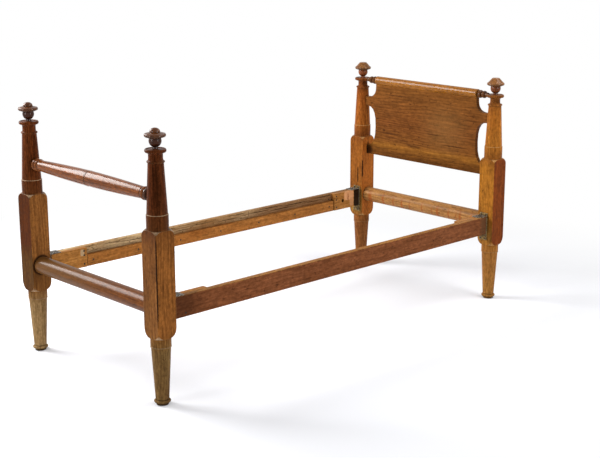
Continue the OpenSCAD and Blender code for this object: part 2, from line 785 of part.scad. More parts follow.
module rail_screws(side) {
    at_corner(HEAD, side) {
        for (end = [HEAD, FOOT]) at_corner(end, FAR) {
            at_block_screws() screw();
            at_iron_screws() screw();
        }
        at_ledger_screws() screw();
    }
}

module near_rail_board() color(wood_red) rail_board(NEAR);
module near_rail_ledger() color(wood_gold) rail_ledger(NEAR);
module near_rail_head_block() color(wood_gold) rail_block(HEAD, NEAR);
module near_rail_foot_block() color(wood_gold) rail_block(FOOT, NEAR);
module near_rail_head_iron() color(iron_black) rail_iron(HEAD, NEAR);
module near_rail_foot_iron() color(iron_black) rail_iron(FOOT, NEAR);
module near_rail_screws() color(screw_grey) rail_screws(NEAR);
module far_rail_board() color(wood_red) rail_board(FAR);
module far_rail_ledger() color(wood_gold) rail_ledger(FAR);
module far_rail_head_block() color(wood_gold) rail_block(HEAD, FAR);
module far_rail_foot_block() color(wood_gold) rail_block(FOOT, FAR);
module far_rail_head_iron() color(iron_black) rail_iron(HEAD, FAR);
module far_rail_foot_iron() color(iron_black) rail_iron(FOOT, FAR);
module far_rail_screws() color(screw_grey) rail_screws(FAR);

near_head_post();
far_head_post();
near_foot_post();
far_foot_post();
near_head_finial();
far_head_finial();
near_foot_finial();
far_foot_finial();
head_end_rail();
foot_end_rail();
blanket_rail();
headboard_panel();
headboard_roll();
near_head_post_plate();
far_head_post_plate();
near_foot_post_plate();
far_foot_post_plate();
post_plate_screws();
near_rail_board();
near_rail_ledger();
near_rail_head_block();
near_rail_foot_block();
near_rail_head_iron();
near_rail_foot_iron();
near_rail_screws();
far_rail_board();
far_rail_ledger();
far_rail_head_block();
far_rail_foot_block();
far_rail_head_iron();
far_rail_foot_iron();
far_rail_screws();
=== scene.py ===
"""Finishes, small fittings, light and camera for the low-post bed.

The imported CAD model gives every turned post, rail, panel and iron.  This script
dresses them in old shellacked maple and blackened iron, adds the nails, and sets
the photograph's view.  Places are metres in the model's own frame, with the head
of the bed towards +X and the floor at z = 0; the size of each pattern in a wood
is written in millimetres, as it would be measured on the bed.
"""

import logging
import math
from dataclasses import dataclass, field, replace
from enum import Enum
from typing import Any

import bmesh
import bpy
from mathutils import Euler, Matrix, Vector


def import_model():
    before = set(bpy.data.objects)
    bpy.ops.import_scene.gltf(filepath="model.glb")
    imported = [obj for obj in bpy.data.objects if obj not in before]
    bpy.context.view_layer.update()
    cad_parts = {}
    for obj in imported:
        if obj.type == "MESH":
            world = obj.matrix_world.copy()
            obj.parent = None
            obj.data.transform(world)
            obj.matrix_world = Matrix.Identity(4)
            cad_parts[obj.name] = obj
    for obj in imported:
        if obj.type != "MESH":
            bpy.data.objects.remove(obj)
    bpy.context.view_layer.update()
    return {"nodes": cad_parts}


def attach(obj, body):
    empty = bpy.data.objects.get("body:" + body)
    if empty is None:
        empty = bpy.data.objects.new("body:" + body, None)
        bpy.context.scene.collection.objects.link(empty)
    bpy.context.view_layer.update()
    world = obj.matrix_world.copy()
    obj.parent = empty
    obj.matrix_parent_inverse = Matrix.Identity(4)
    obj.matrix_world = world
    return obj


LOG = logging.getLogger("bed")

MM = 0.001

# A ring texture repeats every 2 * pi / 20 of its own units
WAVE_PERIOD = math.pi / 10


class Grain(Enum):
    """The bed's axis that the fibres of a piece run along."""

    ALONG_BED = "X"
    ACROSS_BED = "Y"
    UPRIGHT = "Z"


class Side(Enum):
    """Outward direction of a face of the bed."""

    FOOT = (-1.0, 0.0, 0.0)
    NEAR = (0.0, -1.0, 0.0)
    FAR = (0.0, 1.0, 0.0)
    TOP = (0.0, 0.0, 1.0)
    BOTTOM = (0.0, 0.0, -1.0)


def linear(colour: str) -> tuple[float, float, float, float]:
    """Turns an sRGB hex colour to linear light.

    Args:
        colour: Colour as "#rrggbb".

    Returns:
        Red, green, blue and full opacity, as Blender's sockets take them.
    """
    channels = [int(colour[i : i + 2], 16) / 255 for i in (1, 3, 5)]
    curved = [
        c / 12.92 if c <= 0.04045 else ((c + 0.055) / 1.055) ** 2.4 for c in channels
    ]
    return (curved[0], curved[1], curved[2], 1.0)


def add_node(
    tree: bpy.types.NodeTree,
    kind: str,
    settings: dict[str, Any] | None = None,
    inputs: dict[str | int, Any] | None = None,
) -> bpy.types.Node:
    """Adds a shader node, sets it and links it.

    Args:
        tree: Node tree that takes the node.
        kind: Type of the node, without its "ShaderNode" prefix.
        settings: Attributes to set; "stops" sets a ramp's places and colours.
        inputs: Value or output socket for each input, by name or number.

    Returns:
        The new node.
    """
    node = tree.nodes.new("ShaderNode" + kind)
    for name, value in (settings or {}).items():
        if name != "stops":
            setattr(node, name, value)
            continue
        ramp = node.color_ramp
        ramp.elements.remove(ramp.elements[-1])
        ramp.elements[0].position = value[0][0]
        ramp.elements[0].color = value[0][1]
        for place, colour in value[1:]:
            ramp.elements.new(place).color = colour
    for name, value in (inputs or {}).items():
        if isinstance(value, bpy.types.NodeSocket):
            tree.links.new(value, node.inputs[name])
        else:
            node.inputs[name].default_value = value
    return node


# ---- Finishes ---------------------------------------------------------------


@dataclass(frozen=True)
class Tone:
    """Colours and gloss of a wood at one height above the floor."""

    height_mm: float
    dark: str
    light: str
    roughness: float = 0.45

    def shaded(self, times: float, green_times: float = 1.0) -> "Tone":
        """The same tone, darker, and redder where its green is taken down too.

        Args:
            times: Factor on all three parts of both hex colours.
            green_times: Further factor on their green.

        Returns:
            The new tone.
        """
        parts = ((1, times), (3, times * green_times), (5, times))
        return Tone(
            self.height_mm,
            *(
                "#" + "".join(f"{int(int(c[i : i + 2], 16) * factor):02x}" for i, factor in parts)
                for c in (self.dark, self.light)
            ),
            self.roughness,
        )


@dataclass(frozen=True)
class FaceTone:
    """A face in another colour than the rest of its piece; on the posts' ledges it is partly
    painted light.
    """

    side: Side
    dark: str
    light: str
    low_mm: float = -100.0
    high_mm: float = 2000.0
    strength: float = 0.9
    # Cosine of the surface's angle to the side where the tone starts and is full
    starts_at: float = 0.86
    full_at: float = 0.97
    edge_mm: float = 6.0


@dataclass(frozen=True)
class Mark:
    """A place on a piece that is stained, cracked, rubbed or broken.

    The mark is a soft-edged ellipsoid, or a rounded block, round its middle.
    """

    middle_mm: tuple[float, float, float]
    half_mm: tuple[float, float, float]
    colour: str
    strength: float = 0.8
    softness: float = 0.35
    wander_mm: float = 1.5
    square: bool = False


@dataclass(frozen=True)
class WoodFinish:
    """Old shellacked wood: rings, fibres and pores under a worn clear finish."""

    name: str
    grain: Grain
    # Tones from the floor up; one alone holds at every height
    tones: tuple[Tone, ...]
    # The heart of the log that the piece was cut from, in the bed's frame
    heart_mm: tuple[float, float, float] = (0.0, 0.0, 0.0)
    # Real growth rings are 2 to 4 mm apart; they are drawn coarser to show
    ring_mm: float = 9.0
    ring_share: float = 0.28
    streak_mm: float = 9.0
    fibre_mm: float = 1.8
    blotch: str = "#4a2a14"
    blotch_mm: float = 90.0
    blotch_strength: float = 0.45
    speck_strength: float = 0.5
    speck_level: float = 0.68
    mottle: float = 0.22
    mottle_mm: float = 9.0
    worn: str = "#d8a868"
    worn_strength: float = 0.35
    edge_mm: float = 2.0
    # Dirt and painted shade in corners and hollows: its colour, its strength, and its reach in mm
    grime_and_shade: str = "#1c110a"
    grime_and_shade_strength: float = 0.78
    grime_and_shade_mm: float = 22.0
    # Old shellac shines warm; only a polished piece has a clear coat over it
    specular: float = 0.05
    shine: str = "#d9a070"
    coat: float = 0.0
    coat_roughness: float = 0.18
    relief_mm: float = 0.12
    faces: tuple[FaceTone, ...] = ()
    marks: tuple[Mark, ...] = ()

    def stretch(self, times: float) -> tuple[float, ...]:
        """Scale that draws a pattern longer along the grain.

        Args:
            times: How much longer.

        Returns:
            Factor on the place along each axis.
        """
        return tuple(1 / times if a == self.grain.value else 1.0 for a in "XYZ")

    def material(self) -> bpy.types.Material:
        """Builds the finish as a material.

        Returns:
            The material, ready for a piece's slot.
        """
        return WoodShader(self).build()


class WoodShader:
    """Builds the nodes of one wood finish, layer by layer."""

    # How much longer than wide each pattern is drawn along the grain
    FIBRE_STRETCH = 30.0
    STREAK_STRETCH = 14.0
    RING_STRETCH = 7.0
    BLOTCH_STRETCH = 3.0
    SPECK_STRETCH = 2.2
    WEAR_STRETCH = 2.0
    MOTTLE_STRETCH = 1.6
    # Sizes of the patterns that all the woods share
    SPECK_MM = 9.0
    WEAR_MM = 14.0
    RAGGED_MM = 6.0
    # Rings stray by up to this many ring widths, over a length of that many
    RING_STRAY = 7.0
    RING_STRAY_LENGTH = 9.0
    # Values of a pattern at which its effect starts and is full
    FIGURE_SPAN = (0.34, 0.66)
    FIBRE_SPAN = (0.3, 0.7)
    BLOTCH_SPAN = (0.46, 0.72)
    SPECK_SPAN = 0.05
    MOTTLE_SPAN = (0.36, 0.64)
    WEAR_SPAN = (0.38, 0.58)
    # Cosine of the turn of the surface where an arris starts and is full
    ARRIS_SPAN = (0.985, 0.86)
    # Openness to the air where rubbing starts and is full, and likewise the dirt and painted shade
    RUBBED_SPAN = (0.75, 0.95)
    DIRT_AND_SHADE_SPAN = (0.7, 0.2)
    # Wear that is left in the least rubbed patches
    LEAST_WEAR = 0.25
    # Share of the fibres in the fine figure; the streaks are the rest
    FIBRE_SHARE = 0.4
    # Dark fibres are rougher than the finish, and light ones smoother, by up to this
    FIBRE_ROUGHNESS = 0.08
    SPECK_COLOUR = "#2a170c"
    # Height that ends the ramps of tones, above the tallest piece
    RAMP_TOP_MM = 1100.0

    def __init__(self, finish: WoodFinish) -> None:
        """Starts an empty material.

        Args:
            finish: The finish to build.
        """
        self.finish = finish
        self.made = bpy.data.materials.new(finish.name)
        self.made.use_nodes = True
        self.tree = self.made.node_tree
        self.tree.nodes.clear()
        self.place = add_node(self.tree, "TexCoord")
        self.mm = add_node(
            self.tree,
            "VectorMath",
            {"operation": "SCALE"},
            {0: self.place.outputs["Object"], "Scale": 1 / MM},
        ).outputs[0]

    def along_grain(self, times: float) -> bpy.types.NodeSocket:
        """Place on the piece, shortened along the grain.

        Args:
            times: How much shorter.

        Returns:
            The place in mm.
        """
        return add_node(
            self.tree,
            "VectorMath",
            {"operation": "MULTIPLY"},
            {0: self.mm, 1: self.finish.stretch(times)},
        ).outputs[0]

    def rings(self) -> bpy.types.NodeSocket:
        """Growth rings round the heart of the log, bent by the tree's growth.

        Returns:
            0 in early wood to 1 in late wood.
        """
        finish = self.finish
        bend = add_node(
            self.tree,
            "TexNoise",
            {},
            {
                "Vector": self.along_grain(self.RING_STRETCH),
                "Scale": 1 / (self.RING_STRAY_LENGTH * finish.ring_mm),
                "Detail": 2.0,
            },
        )
        centred = add_node(
            self.tree,
            "VectorMath",
            {"operation": "SUBTRACT"},
            {0: bend.outputs["Color"], 1: (0.5, 0.5, 0.5)},
        )
        shifted = add_node(
            self.tree,
            "VectorMath",
            {"operation": "MULTIPLY_ADD"},
            {
                0: centred.outputs[0],
                1: (self.RING_STRAY * finish.ring_mm,) * 3,
                2: self.mm,
            },
        )
        from_heart = add_node(
            self.tree,
            "VectorMath",
            {"operation": "SUBTRACT"},
            {0: shifted.outputs[0], 1: finish.heart_mm},
        )
        return add_node(
            self.tree,
            "TexWave",
            {
                "wave_type": "RINGS",
                "rings_direction": finish.grain.value,
                "wave_profile": "SAW",
            },
            {
                "Vector": from_heart.outputs[0],
                "Scale": WAVE_PERIOD / finish.ring_mm,
                "Distortion": 1.2,
                "Detail": 2.0,
                "Detail Scale": 0.6,
            },
        ).outputs[1]

    def uneven(self, size_mm: float, times: float, detail: float) -> bpy.types.NodeSocket:
        """Irregular pattern of one real size, drawn out along the grain.

        Args:
            size_mm: Width of the pattern's features across the grain.
            times: How much longer they are along it.
            detail: Number of finer layers.

        Returns:
            A value about 0.5.
        """
        return add_node(
            self.tree,
            "TexNoise",
            {},
            {
                "Vector": self.along_grain(times),
                "Scale": 1 / size_mm,
                "Detail": detail,
                "Roughness": 0.6,
            },
        ).outputs[0]

    def figure(self) -> bpy.types.NodeSocket:
        """Rings, streaks and fibres together.

        Returns:
            0 in dark wood to 1 in light wood.
        """
        finish = self.finish
        self.fibres = self.uneven(finish.fibre_mm, self.FIBRE_STRETCH, 3.0)
        streaks = self.uneven(finish.streak_mm, self.STREAK_STRETCH, 3.0)
        fine = add_node(
            self.tree,
            "Mix",
            {"data_type": "FLOAT"},
            {"Factor": self.FIBRE_SHARE, 2: streaks, 3: self.fibres},
        )
        spread = add_node(
            self.tree,
            "MapRange",
            {},
            {
                "Value": fine.outputs[0],
                "From Min": self.FIGURE_SPAN[0],
                "From Max": self.FIGURE_SPAN[1],
            },
        )
        return add_node(
            self.tree,
            "Mix",
            {"data_type": "FLOAT"},
            {"Factor": finish.ring_share, 2: spread.outputs[0], 3: self.rings()},
        ).outputs[0]

    def by_height(
        self, colours: list[tuple[float, float, float, float]]
    ) -> bpy.types.NodeSocket:
        """Colour by height above the floor.

        Args:
            colours: Linear colour at the height of each tone of the finish.

        Returns:
            The colour at the place that is drawn.
        """
        stops = [
            (tone.height_mm / self.RAMP_TOP_MM, colour)
            for tone, colour in zip(self.finish.tones, colours)
        ]
        return add_node(
            self.tree, "ValToRGB", {"stops": stops}, {"Fac": self.height}
        ).outputs[0]

    def tone(self) -> bpy.types.NodeSocket:
        """Colour of the bare figure, and the finish's roughness, by height.

        Returns:
            The colour.
        """
        finish = self.finish
        self.z_mm = add_node(
            self.tree, "SeparateXYZ", {}, {"Vector": self.mm}
        ).outputs["Z"]
        self.height = add_node(
            self.tree,
            "Math",
            {"operation": "DIVIDE", "use_clamp": True},
            {0: self.z_mm, 1: self.RAMP_TOP_MM},
        ).outputs[0]
        dark = self.by_height([linear(t.dark) for t in finish.tones])
        light = self.by_height([linear(t.light) for t in finish.tones])
        self.roughness = self.by_height([(t.roughness,) * 3 + (1.0,) for t in finish.tones])
        return add_node(
            self.tree,
            "Mix",
            {"data_type": "RGBA"},
            {0: self.figured, 6: dark, 7: light},
        ).outputs[2]

    def faced(self, colour: bpy.types.NodeSocket, face: FaceTone) -> bpy.types.NodeSocket:
        """Lays another tone on the flat faces that look one way.

        Args:
            colour: Colour below.
            face: The face's direction, heights and tone.

        Returns:
            The colour with the face laid on.
        """
        facing = add_node(
            self.tree,
            "VectorMath",
            {"operation": "DOT_PRODUCT"},
            {0: self.place.outputs["Normal"], 1: face.side.value},
        )
        flat = add_node(
            self.tree,
            "MapRange",
            {},
            {
                "Value": facing.outputs["Value"],
                "From Min": face.starts_at,
                "From Max": face.full_at,
                "To Max": face.strength,
            },
        )
        above = add_node(
            self.tree,
            "MapRange",
            {},
            {
                "Value": self.z_mm,
                "From Min": face.low_mm - face.edge_mm,
                "From Max": face.low_mm + face.edge_mm,
            },
        )
        below = add_node(
            self.tree,
            "MapRange",
            {},
            {
                "Value": self.z_mm,
                "From Min": face.high_mm + face.edge_mm,
                "From Max": face.high_mm - face.edge_mm,
            },
        )
        within = add_node(
            self.tree,
            "Math",
            {"operation": "MULTIPLY"},
            {0: above.outputs[0], 1: below.outputs[0]},
        )
        share = add_node(
            self.tree,
            "Math",
            {"operation": "MULTIPLY"},
            {0: flat.outputs[0], 1: within.outputs[0]},
        )
        face_colour = add_node(
            self.tree,
            "Mix",
            {"data_type": "RGBA"},
            {0: self.figured, 6: linear(face.dark), 7: linear(face.light)},
        )
        return add_node(
            self.tree,
            "Mix",
            {"data_type": "RGBA"},
            {0: share.outputs[0], 6: colour, 7: face_colour.outputs[2]},
        ).outputs[2]

    def blotched(self, colour: bpy.types.NodeSocket) -> bpy.types.NodeSocket:
        """Darkens wide uneven patches, where the old finish has gathered.

        Args:
            colour: Colour below.

        Returns:
            The colour with the patches.
        """
        finish = self.finish
        share = add_node(
            self.tree,
            "MapRange",
            {},
            {
                "Value": self.uneven(finish.blotch_mm, self.BLOTCH_STRETCH, 3.0),
                "From Min": self.BLOTCH_SPAN[0],
                "From Max": self.BLOTCH_SPAN[1],
                "To Max": finish.blotch_strength,
            },
        )
        return add_node(
            self.tree,
            "Mix",
            {"data_type": "RGBA"},
            {0: share.outputs[0], 6: colour, 7: linear(finish.blotch)},
        ).outputs[2]

    def specked(self, colour: bpy.types.NodeSocket) -> bpy.types.NodeSocket:
        """Adds small dark specks and short dark flecks along the grain.

        Args:
            colour: Colour below.

        Returns:
            The colour with the specks.
        """
        finish = self.finish
        share = add_node(
            self.tree,
            "MapRange",
            {},
            {
                "Value": self.uneven(self.SPECK_MM, self.SPECK_STRETCH, 2.0),
                "From Min": finish.speck_level,
                "From Max": finish.speck_level + self.SPECK_SPAN,
                "To Max": finish.speck_strength,
            },
        )
        return add_node(
            self.tree,
            "Mix",
            {"data_type": "RGBA"},
            {0: share.outputs[0], 6: colour, 7: linear(self.SPECK_COLOUR)},
        ).outputs[2]

    def mottled(self, colour: bpy.types.NodeSocket) -> bpy.types.NodeSocket:
        """Lightens and darkens small patches, as on wood that is often handled.

        Args:
            colour: Colour below.

        Returns:
            The colour, lighter in some patches and darker in others.
        """
        finish = self.finish
        times = add_node(
            self.tree,
            "MapRange",
            {},
            {
                "Value": self.uneven(finish.mottle_mm, self.MOTTLE_STRETCH, 3.0),
                "From Min": self.MOTTLE_SPAN[0],
                "From Max": self.MOTTLE_SPAN[1],
                "To Min": 1 - finish.mottle,
                "To Max": 1 + finish.mottle,
            },
        )
        return add_node(
            self.tree,
            "VectorMath",
            {"operation": "SCALE"},
            {0: colour, "Scale": times.outputs[0]},
        ).outputs[0]

    def marked(self, colour: bpy.types.NodeSocket, mark: Mark) -> bpy.types.NodeSocket:
        """Lays one mark over the colour.

        Args:
            colour: Colour below.
            mark: The mark's place, half sizes and colour.

        Returns:
            The colour with the mark on it.
        """
        wander = add_node(
            self.tree,
            "VectorMath",
            {"operation": "SUBTRACT"},
            {0: self.ragged, 1: (0.5, 0.5, 0.5)},
        )
        shifted = add_node(
            self.tree,
            "VectorMath",
            {"operation": "MULTIPLY_ADD"},
            {0: wander.outputs[0], 1: (2 * mark.wander_mm,) * 3, 2: self.mm},
        )
        away = add_node(
            self.tree,
            "VectorMath",
            {"operation": "SUBTRACT"},
            {0: shifted.outputs[0], 1: mark.middle_mm},
        )
        scaled = add_node(
            self.tree,
            "VectorMath",
            {"operation": "DIVIDE"},
            {0: away.outputs[0], 1: mark.half_mm},
        )
        if mark.square:
            scaled = add_node(
                self.tree,
                "VectorMath",
                {"operation": "MULTIPLY"},
                {0: scaled.outputs[0], 1: scaled.outputs[0]},
            )
        length = add_node(
            self.tree, "VectorMath", {"operation": "LENGTH"}, {0: scaled.outputs[0]}
        )
        share = add_node(
            self.tree,
            "MapRange",
            {"interpolation_type": "SMOOTHSTEP"},
            {
                "Value": length.outputs["Value"],
                "From Min": 1.0 + mark.softness,
                "From Max": 1.0 - mark.softness,
                "To Max": mark.strength,
            },
        )
        return add_node(
            self.tree,
            "Mix",
            {"data_type": "RGBA"},
            {0: share.outputs[0], 6: colour, 7: linear(mark.colour)},
        ).outputs[2]

    def worn(self, colour: bpy.types.NodeSocket) -> bpy.types.NodeSocket:
        """Rubs the arrises light, and darkens the corners with dirt and painted shade.

        Args:
            colour: Colour below.

        Returns:
            The colour with the wear, the dirt and the painted shade.
        """
        finish = self.finish
        self.rounded = add_node(
            self.tree, "Bevel", {"samples": 4}, {"Radius": finish.edge_mm * MM}
        ).outputs[0]
        surface = add_node(self.tree, "NewGeometry")
        flatness = add_node(
            self.tree,
            "VectorMath",
            {"operation": "DOT_PRODUCT"},
            {0: self.rounded, 1: surface.outputs["Normal"]},
        )
        open_air = add_node(
            self.tree,
            "AmbientOcclusion",
            {"samples": 5},
            {"Distance": finish.grime_and_shade_mm * MM},
        ).outputs["AO"]
        edge = add_node(
            self.tree,
            "MapRange",
            {},
            {
                "Value": flatness.outputs["Value"],
                "From Min": self.ARRIS_SPAN[0],
                "From Max": self.ARRIS_SPAN[1],
                "To Max": finish.worn_strength,
            },
        )
        outward = add_node(
            self.tree,
            "MapRange",
            {},
            {
                "Value": open_air,
                "From Min": self.RUBBED_SPAN[0],
                "From Max": self.RUBBED_SPAN[1],
            },
        )
        patchy = add_node(
            self.tree,
            "MapRange",
            {},
            {
                "Value": self.uneven(self.WEAR_MM, self.WEAR_STRETCH, 2.0),
                "From Min": self.WEAR_SPAN[0],
                "From Max": self.WEAR_SPAN[1],
                "To Min": self.LEAST_WEAR,
            },
        )
        rubbed = add_node(
            self.tree,
            "Math",
            {"operation": "MULTIPLY"},
            {0: edge.outputs[0], 1: outward.outputs[0]},
        )
        share = add_node(
            self.tree,
            "Math",
            {"operation": "MULTIPLY"},
            {0: rubbed.outputs[0], 1: patchy.outputs[0]},
        )
        lighter = add_node(
            self.tree,
            "Mix",
            {"data_type": "RGBA"},
            {0: share.outputs[0], 6: colour, 7: linear(finish.worn)},
        )
        # Corners and hollows darken by ambient occlusion: dirt, and painted shade where surfaces
        # hide each other from the light
        dirt_and_shade = add_node(
            self.tree,
            "MapRange",
            {},
            {
                "Value": open_air,
                "From Min": self.DIRT_AND_SHADE_SPAN[0],
                "From Max": self.DIRT_AND_SHADE_SPAN[1],
                "To Max": finish.grime_and_shade_strength,
            },
        )
        return add_node(
            self.tree,
            "Mix",
            {"data_type": "RGBA"},
            {0: dirt_and_shade.outputs[0], 6: lighter.outputs[2], 7: linear(finish.grime_and_shade)},
        ).outputs[2]

    def build(self) -> bpy.types.Material:
        """Joins the layers and the clear finish.

        Returns:
            The material.
        """
        finish = self.finish
        self.figured = self.figure()
        colour = self.tone()
        for face in finish.faces:
            colour = self.faced(colour, face)
        colour = self.blotched(colour)
        colour = self.mottled(self.specked(colour))
        self.ragged = add_node(
            self.tree,
            "TexNoise",
            {},
            {"Vector": self.mm, "Scale": 1 / self.RAGGED_MM, "Detail": 2.0},
        ).outputs["Color"]
        colour = self.worn(colour)
        for mark in finish.marks:
            colour = self.marked(colour, mark)
        duller = add_node(
            self.tree,
            "MapRange",
            {},
            {
                "Value": self.fibres,
                "From Min": self.FIBRE_SPAN[0],
                "From Max": self.FIBRE_SPAN[1],
                "To Min": self.FIBRE_ROUGHNESS,
                "To Max": -self.FIBRE_ROUGHNESS,
            },
        )
        roughness = add_node(
            self.tree,
            "Math",
            {"operation": "ADD", "use_clamp": True},
            {0: self.roughness, 1: duller.outputs[0]},
        )
        relief = add_node(
            self.tree,
            "Bump",
            {},
            {
                "Strength": 0.6,
                "Distance": finish.relief_mm * MM,
                "Height": self.fibres,
                "Normal": self.rounded,
            },
        )
        shader = add_node(
            self.tree,
            "BsdfPrincipled",
            {},
            {
                "Base Color": colour,
                "Roughness": roughness.outputs[0],
                "Normal": relief.outputs[0],
                "IOR": 1.5,
                "Specular IOR Level": finish.specular,
                "Specular Tint": linear(finish.shine),
                "Coat Weight": finish.coat,
                "Coat Roughness": finish.coat_roughness,
            },
        )
        add_node(
            self.tree, "OutputMaterial", {}, {"Surface": shader.outputs[0]}
        )
        return self.made


@dataclass(frozen=True)
class IronFinish:
    """Forged iron, blackened, with brown rust, edges rubbed bright, and painted glints on small
    spots.
    """

    name: str
    black: str = "#1d1a18"
    brown: str = "#4a3324"
    bright: str = "#a8a29a"
    rust_mm: float = 12.0
    pit_mm: float = 2.5
    edge_mm: float = 1.2
    bright_strength: float = 0.7
    # Painted glints on small spots of the iron, at this strength
    painted_glint_strength: float = 0.0
    specular: float = 0.25
    # Share of bare metal where it is clean and where it is rusty or painted
    clean_metal: float = 0.5
    covered_metal: float = 0.1
    relief_mm: float = 0.4

    # Values of a pattern at which rust, and the painted glints, start and are full
    RUST_SPAN = (0.48, 0.62)
    PAINTED_GLINT_SPAN = (0.41, 0.33)
    # Cosine of the turn of the surface where an edge starts and is full
    EDGE_SPAN = (0.98, 0.85)
    # Roughness of the smoothest and the most pitted iron
    ROUGHNESS_SPAN = (0.35, 0.75)

    def material(self) -> bpy.types.Material:
        """Builds the finish as a material.

        Returns:
            The material, ready for a piece's slot.
        """
        made = bpy.data.materials.new(self.name)
        made.use_nodes = True
        tree = made.node_tree
        tree.nodes.clear()
        place = add_node(tree, "TexCoord")
        patches = add_node(
            tree,
            "TexNoise",
            {},
            {
                "Vector": place.outputs["Object"],
                "Scale": 1 / (self.rust_mm * MM),
                "Detail": 4.0,
            },
        )
        pits = add_node(
            tree,
            "TexNoise",
            {},
            {
                "Vector": place.outputs["Object"],
                "Scale": 1 / (self.pit_mm * MM),
                "Detail": 3.0,
            },
        )
        rust = add_node(
            tree,
            "MapRange",
            {},
            {
                "Value": patches.outputs[0],
                "From Min": self.RUST_SPAN[0],
                "From Max": self.RUST_SPAN[1],
            },
        )
        colour = add_node(
            tree,
            "Mix",
            {"data_type": "RGBA"},
            {0: rust.outputs[0], 6: linear(self.black), 7: linear(self.brown)},
        )
        rounded = add_node(tree, "Bevel", {"samples": 4}, {"Radius": self.edge_mm * MM})
        surface = add_node(tree, "NewGeometry")
        flatness = add_node(
            tree,
            "VectorMath",
            {"operation": "DOT_PRODUCT"},
            {0: rounded.outputs[0], 1: surface.outputs["Normal"]},
        )
        edge = add_node(
            tree,
            "MapRange",
            {},
            {
                "Value": flatness.outputs["Value"],
                "From Min": self.EDGE_SPAN[0],
                "From Max": self.EDGE_SPAN[1],
                "To Max": self.bright_strength,
            },
        )
        painted_glints = add_node(
            tree,
            "MapRange",
            {},
            {
                "Value": patches.outputs[0],
                "From Min": self.PAINTED_GLINT_SPAN[0],
                "From Max": self.PAINTED_GLINT_SPAN[1],
                "To Max": self.painted_glint_strength,
            },
        )
        # Rubbed edges and painted glints, whichever is brighter
        wear_and_glints = add_node(
            tree,
            "Math",
            {"operation": "MAXIMUM"},
            {0: edge.outputs[0], 1: painted_glints.outputs[0]},
        )
        # Colour with the rubbed edges and the painted glints laid on
        rubbed = add_node(
            tree,
            "Mix",
            {"data_type": "RGBA"},
            {0: wear_and_glints.outputs[0], 6: colour.outputs[2], 7: linear(self.bright)},
        )
        bare = add_node(
            tree,
            "MapRange",
            {},
            {
                "Value": rust.outputs[0],
                "To Min": self.clean_metal,
                "To Max": self.covered_metal,
            },
        )
        roughness = add_node(
            tree,
            "MapRange",
            {},
            {
                "Value": pits.outputs[0],
                "To Min": self.ROUGHNESS_SPAN[0],
                "To Max": self.ROUGHNESS_SPAN[1],
            },
        )
        relief = add_node(
            tree,
            "Bump",
            {},
            {
                "Strength": 0.7,
                "Distance": self.relief_mm * MM,
                "Height": pits.outputs[0],
                "Normal": rounded.outputs[0],
            },
        )
        shader = add_node(
            tree,
            "BsdfPrincipled",
            {},
            {
                "Base Color": rubbed.outputs[2],
                "Metallic": bare.outputs[0],
                "Roughness": roughness.outputs[0],
                "Specular IOR Level": self.specular,
                "Normal": relief.outputs[0],
            },
        )
        add_node(tree, "OutputMaterial", {}, {"Surface": shader.outputs[0]})
        return made


# ---- Dressing ---------------------------------------------------------------


def dress(piece: bpy.types.Object, material: bpy.types.Material) -> None:
    """Puts one material on the whole of a piece.

    Args:
        piece: The piece.
        material: Its material.
    """
    piece.data.materials.clear()
    piece.data.materials.append(material)
    for face in piece.data.polygons:
        face.material_index = 0


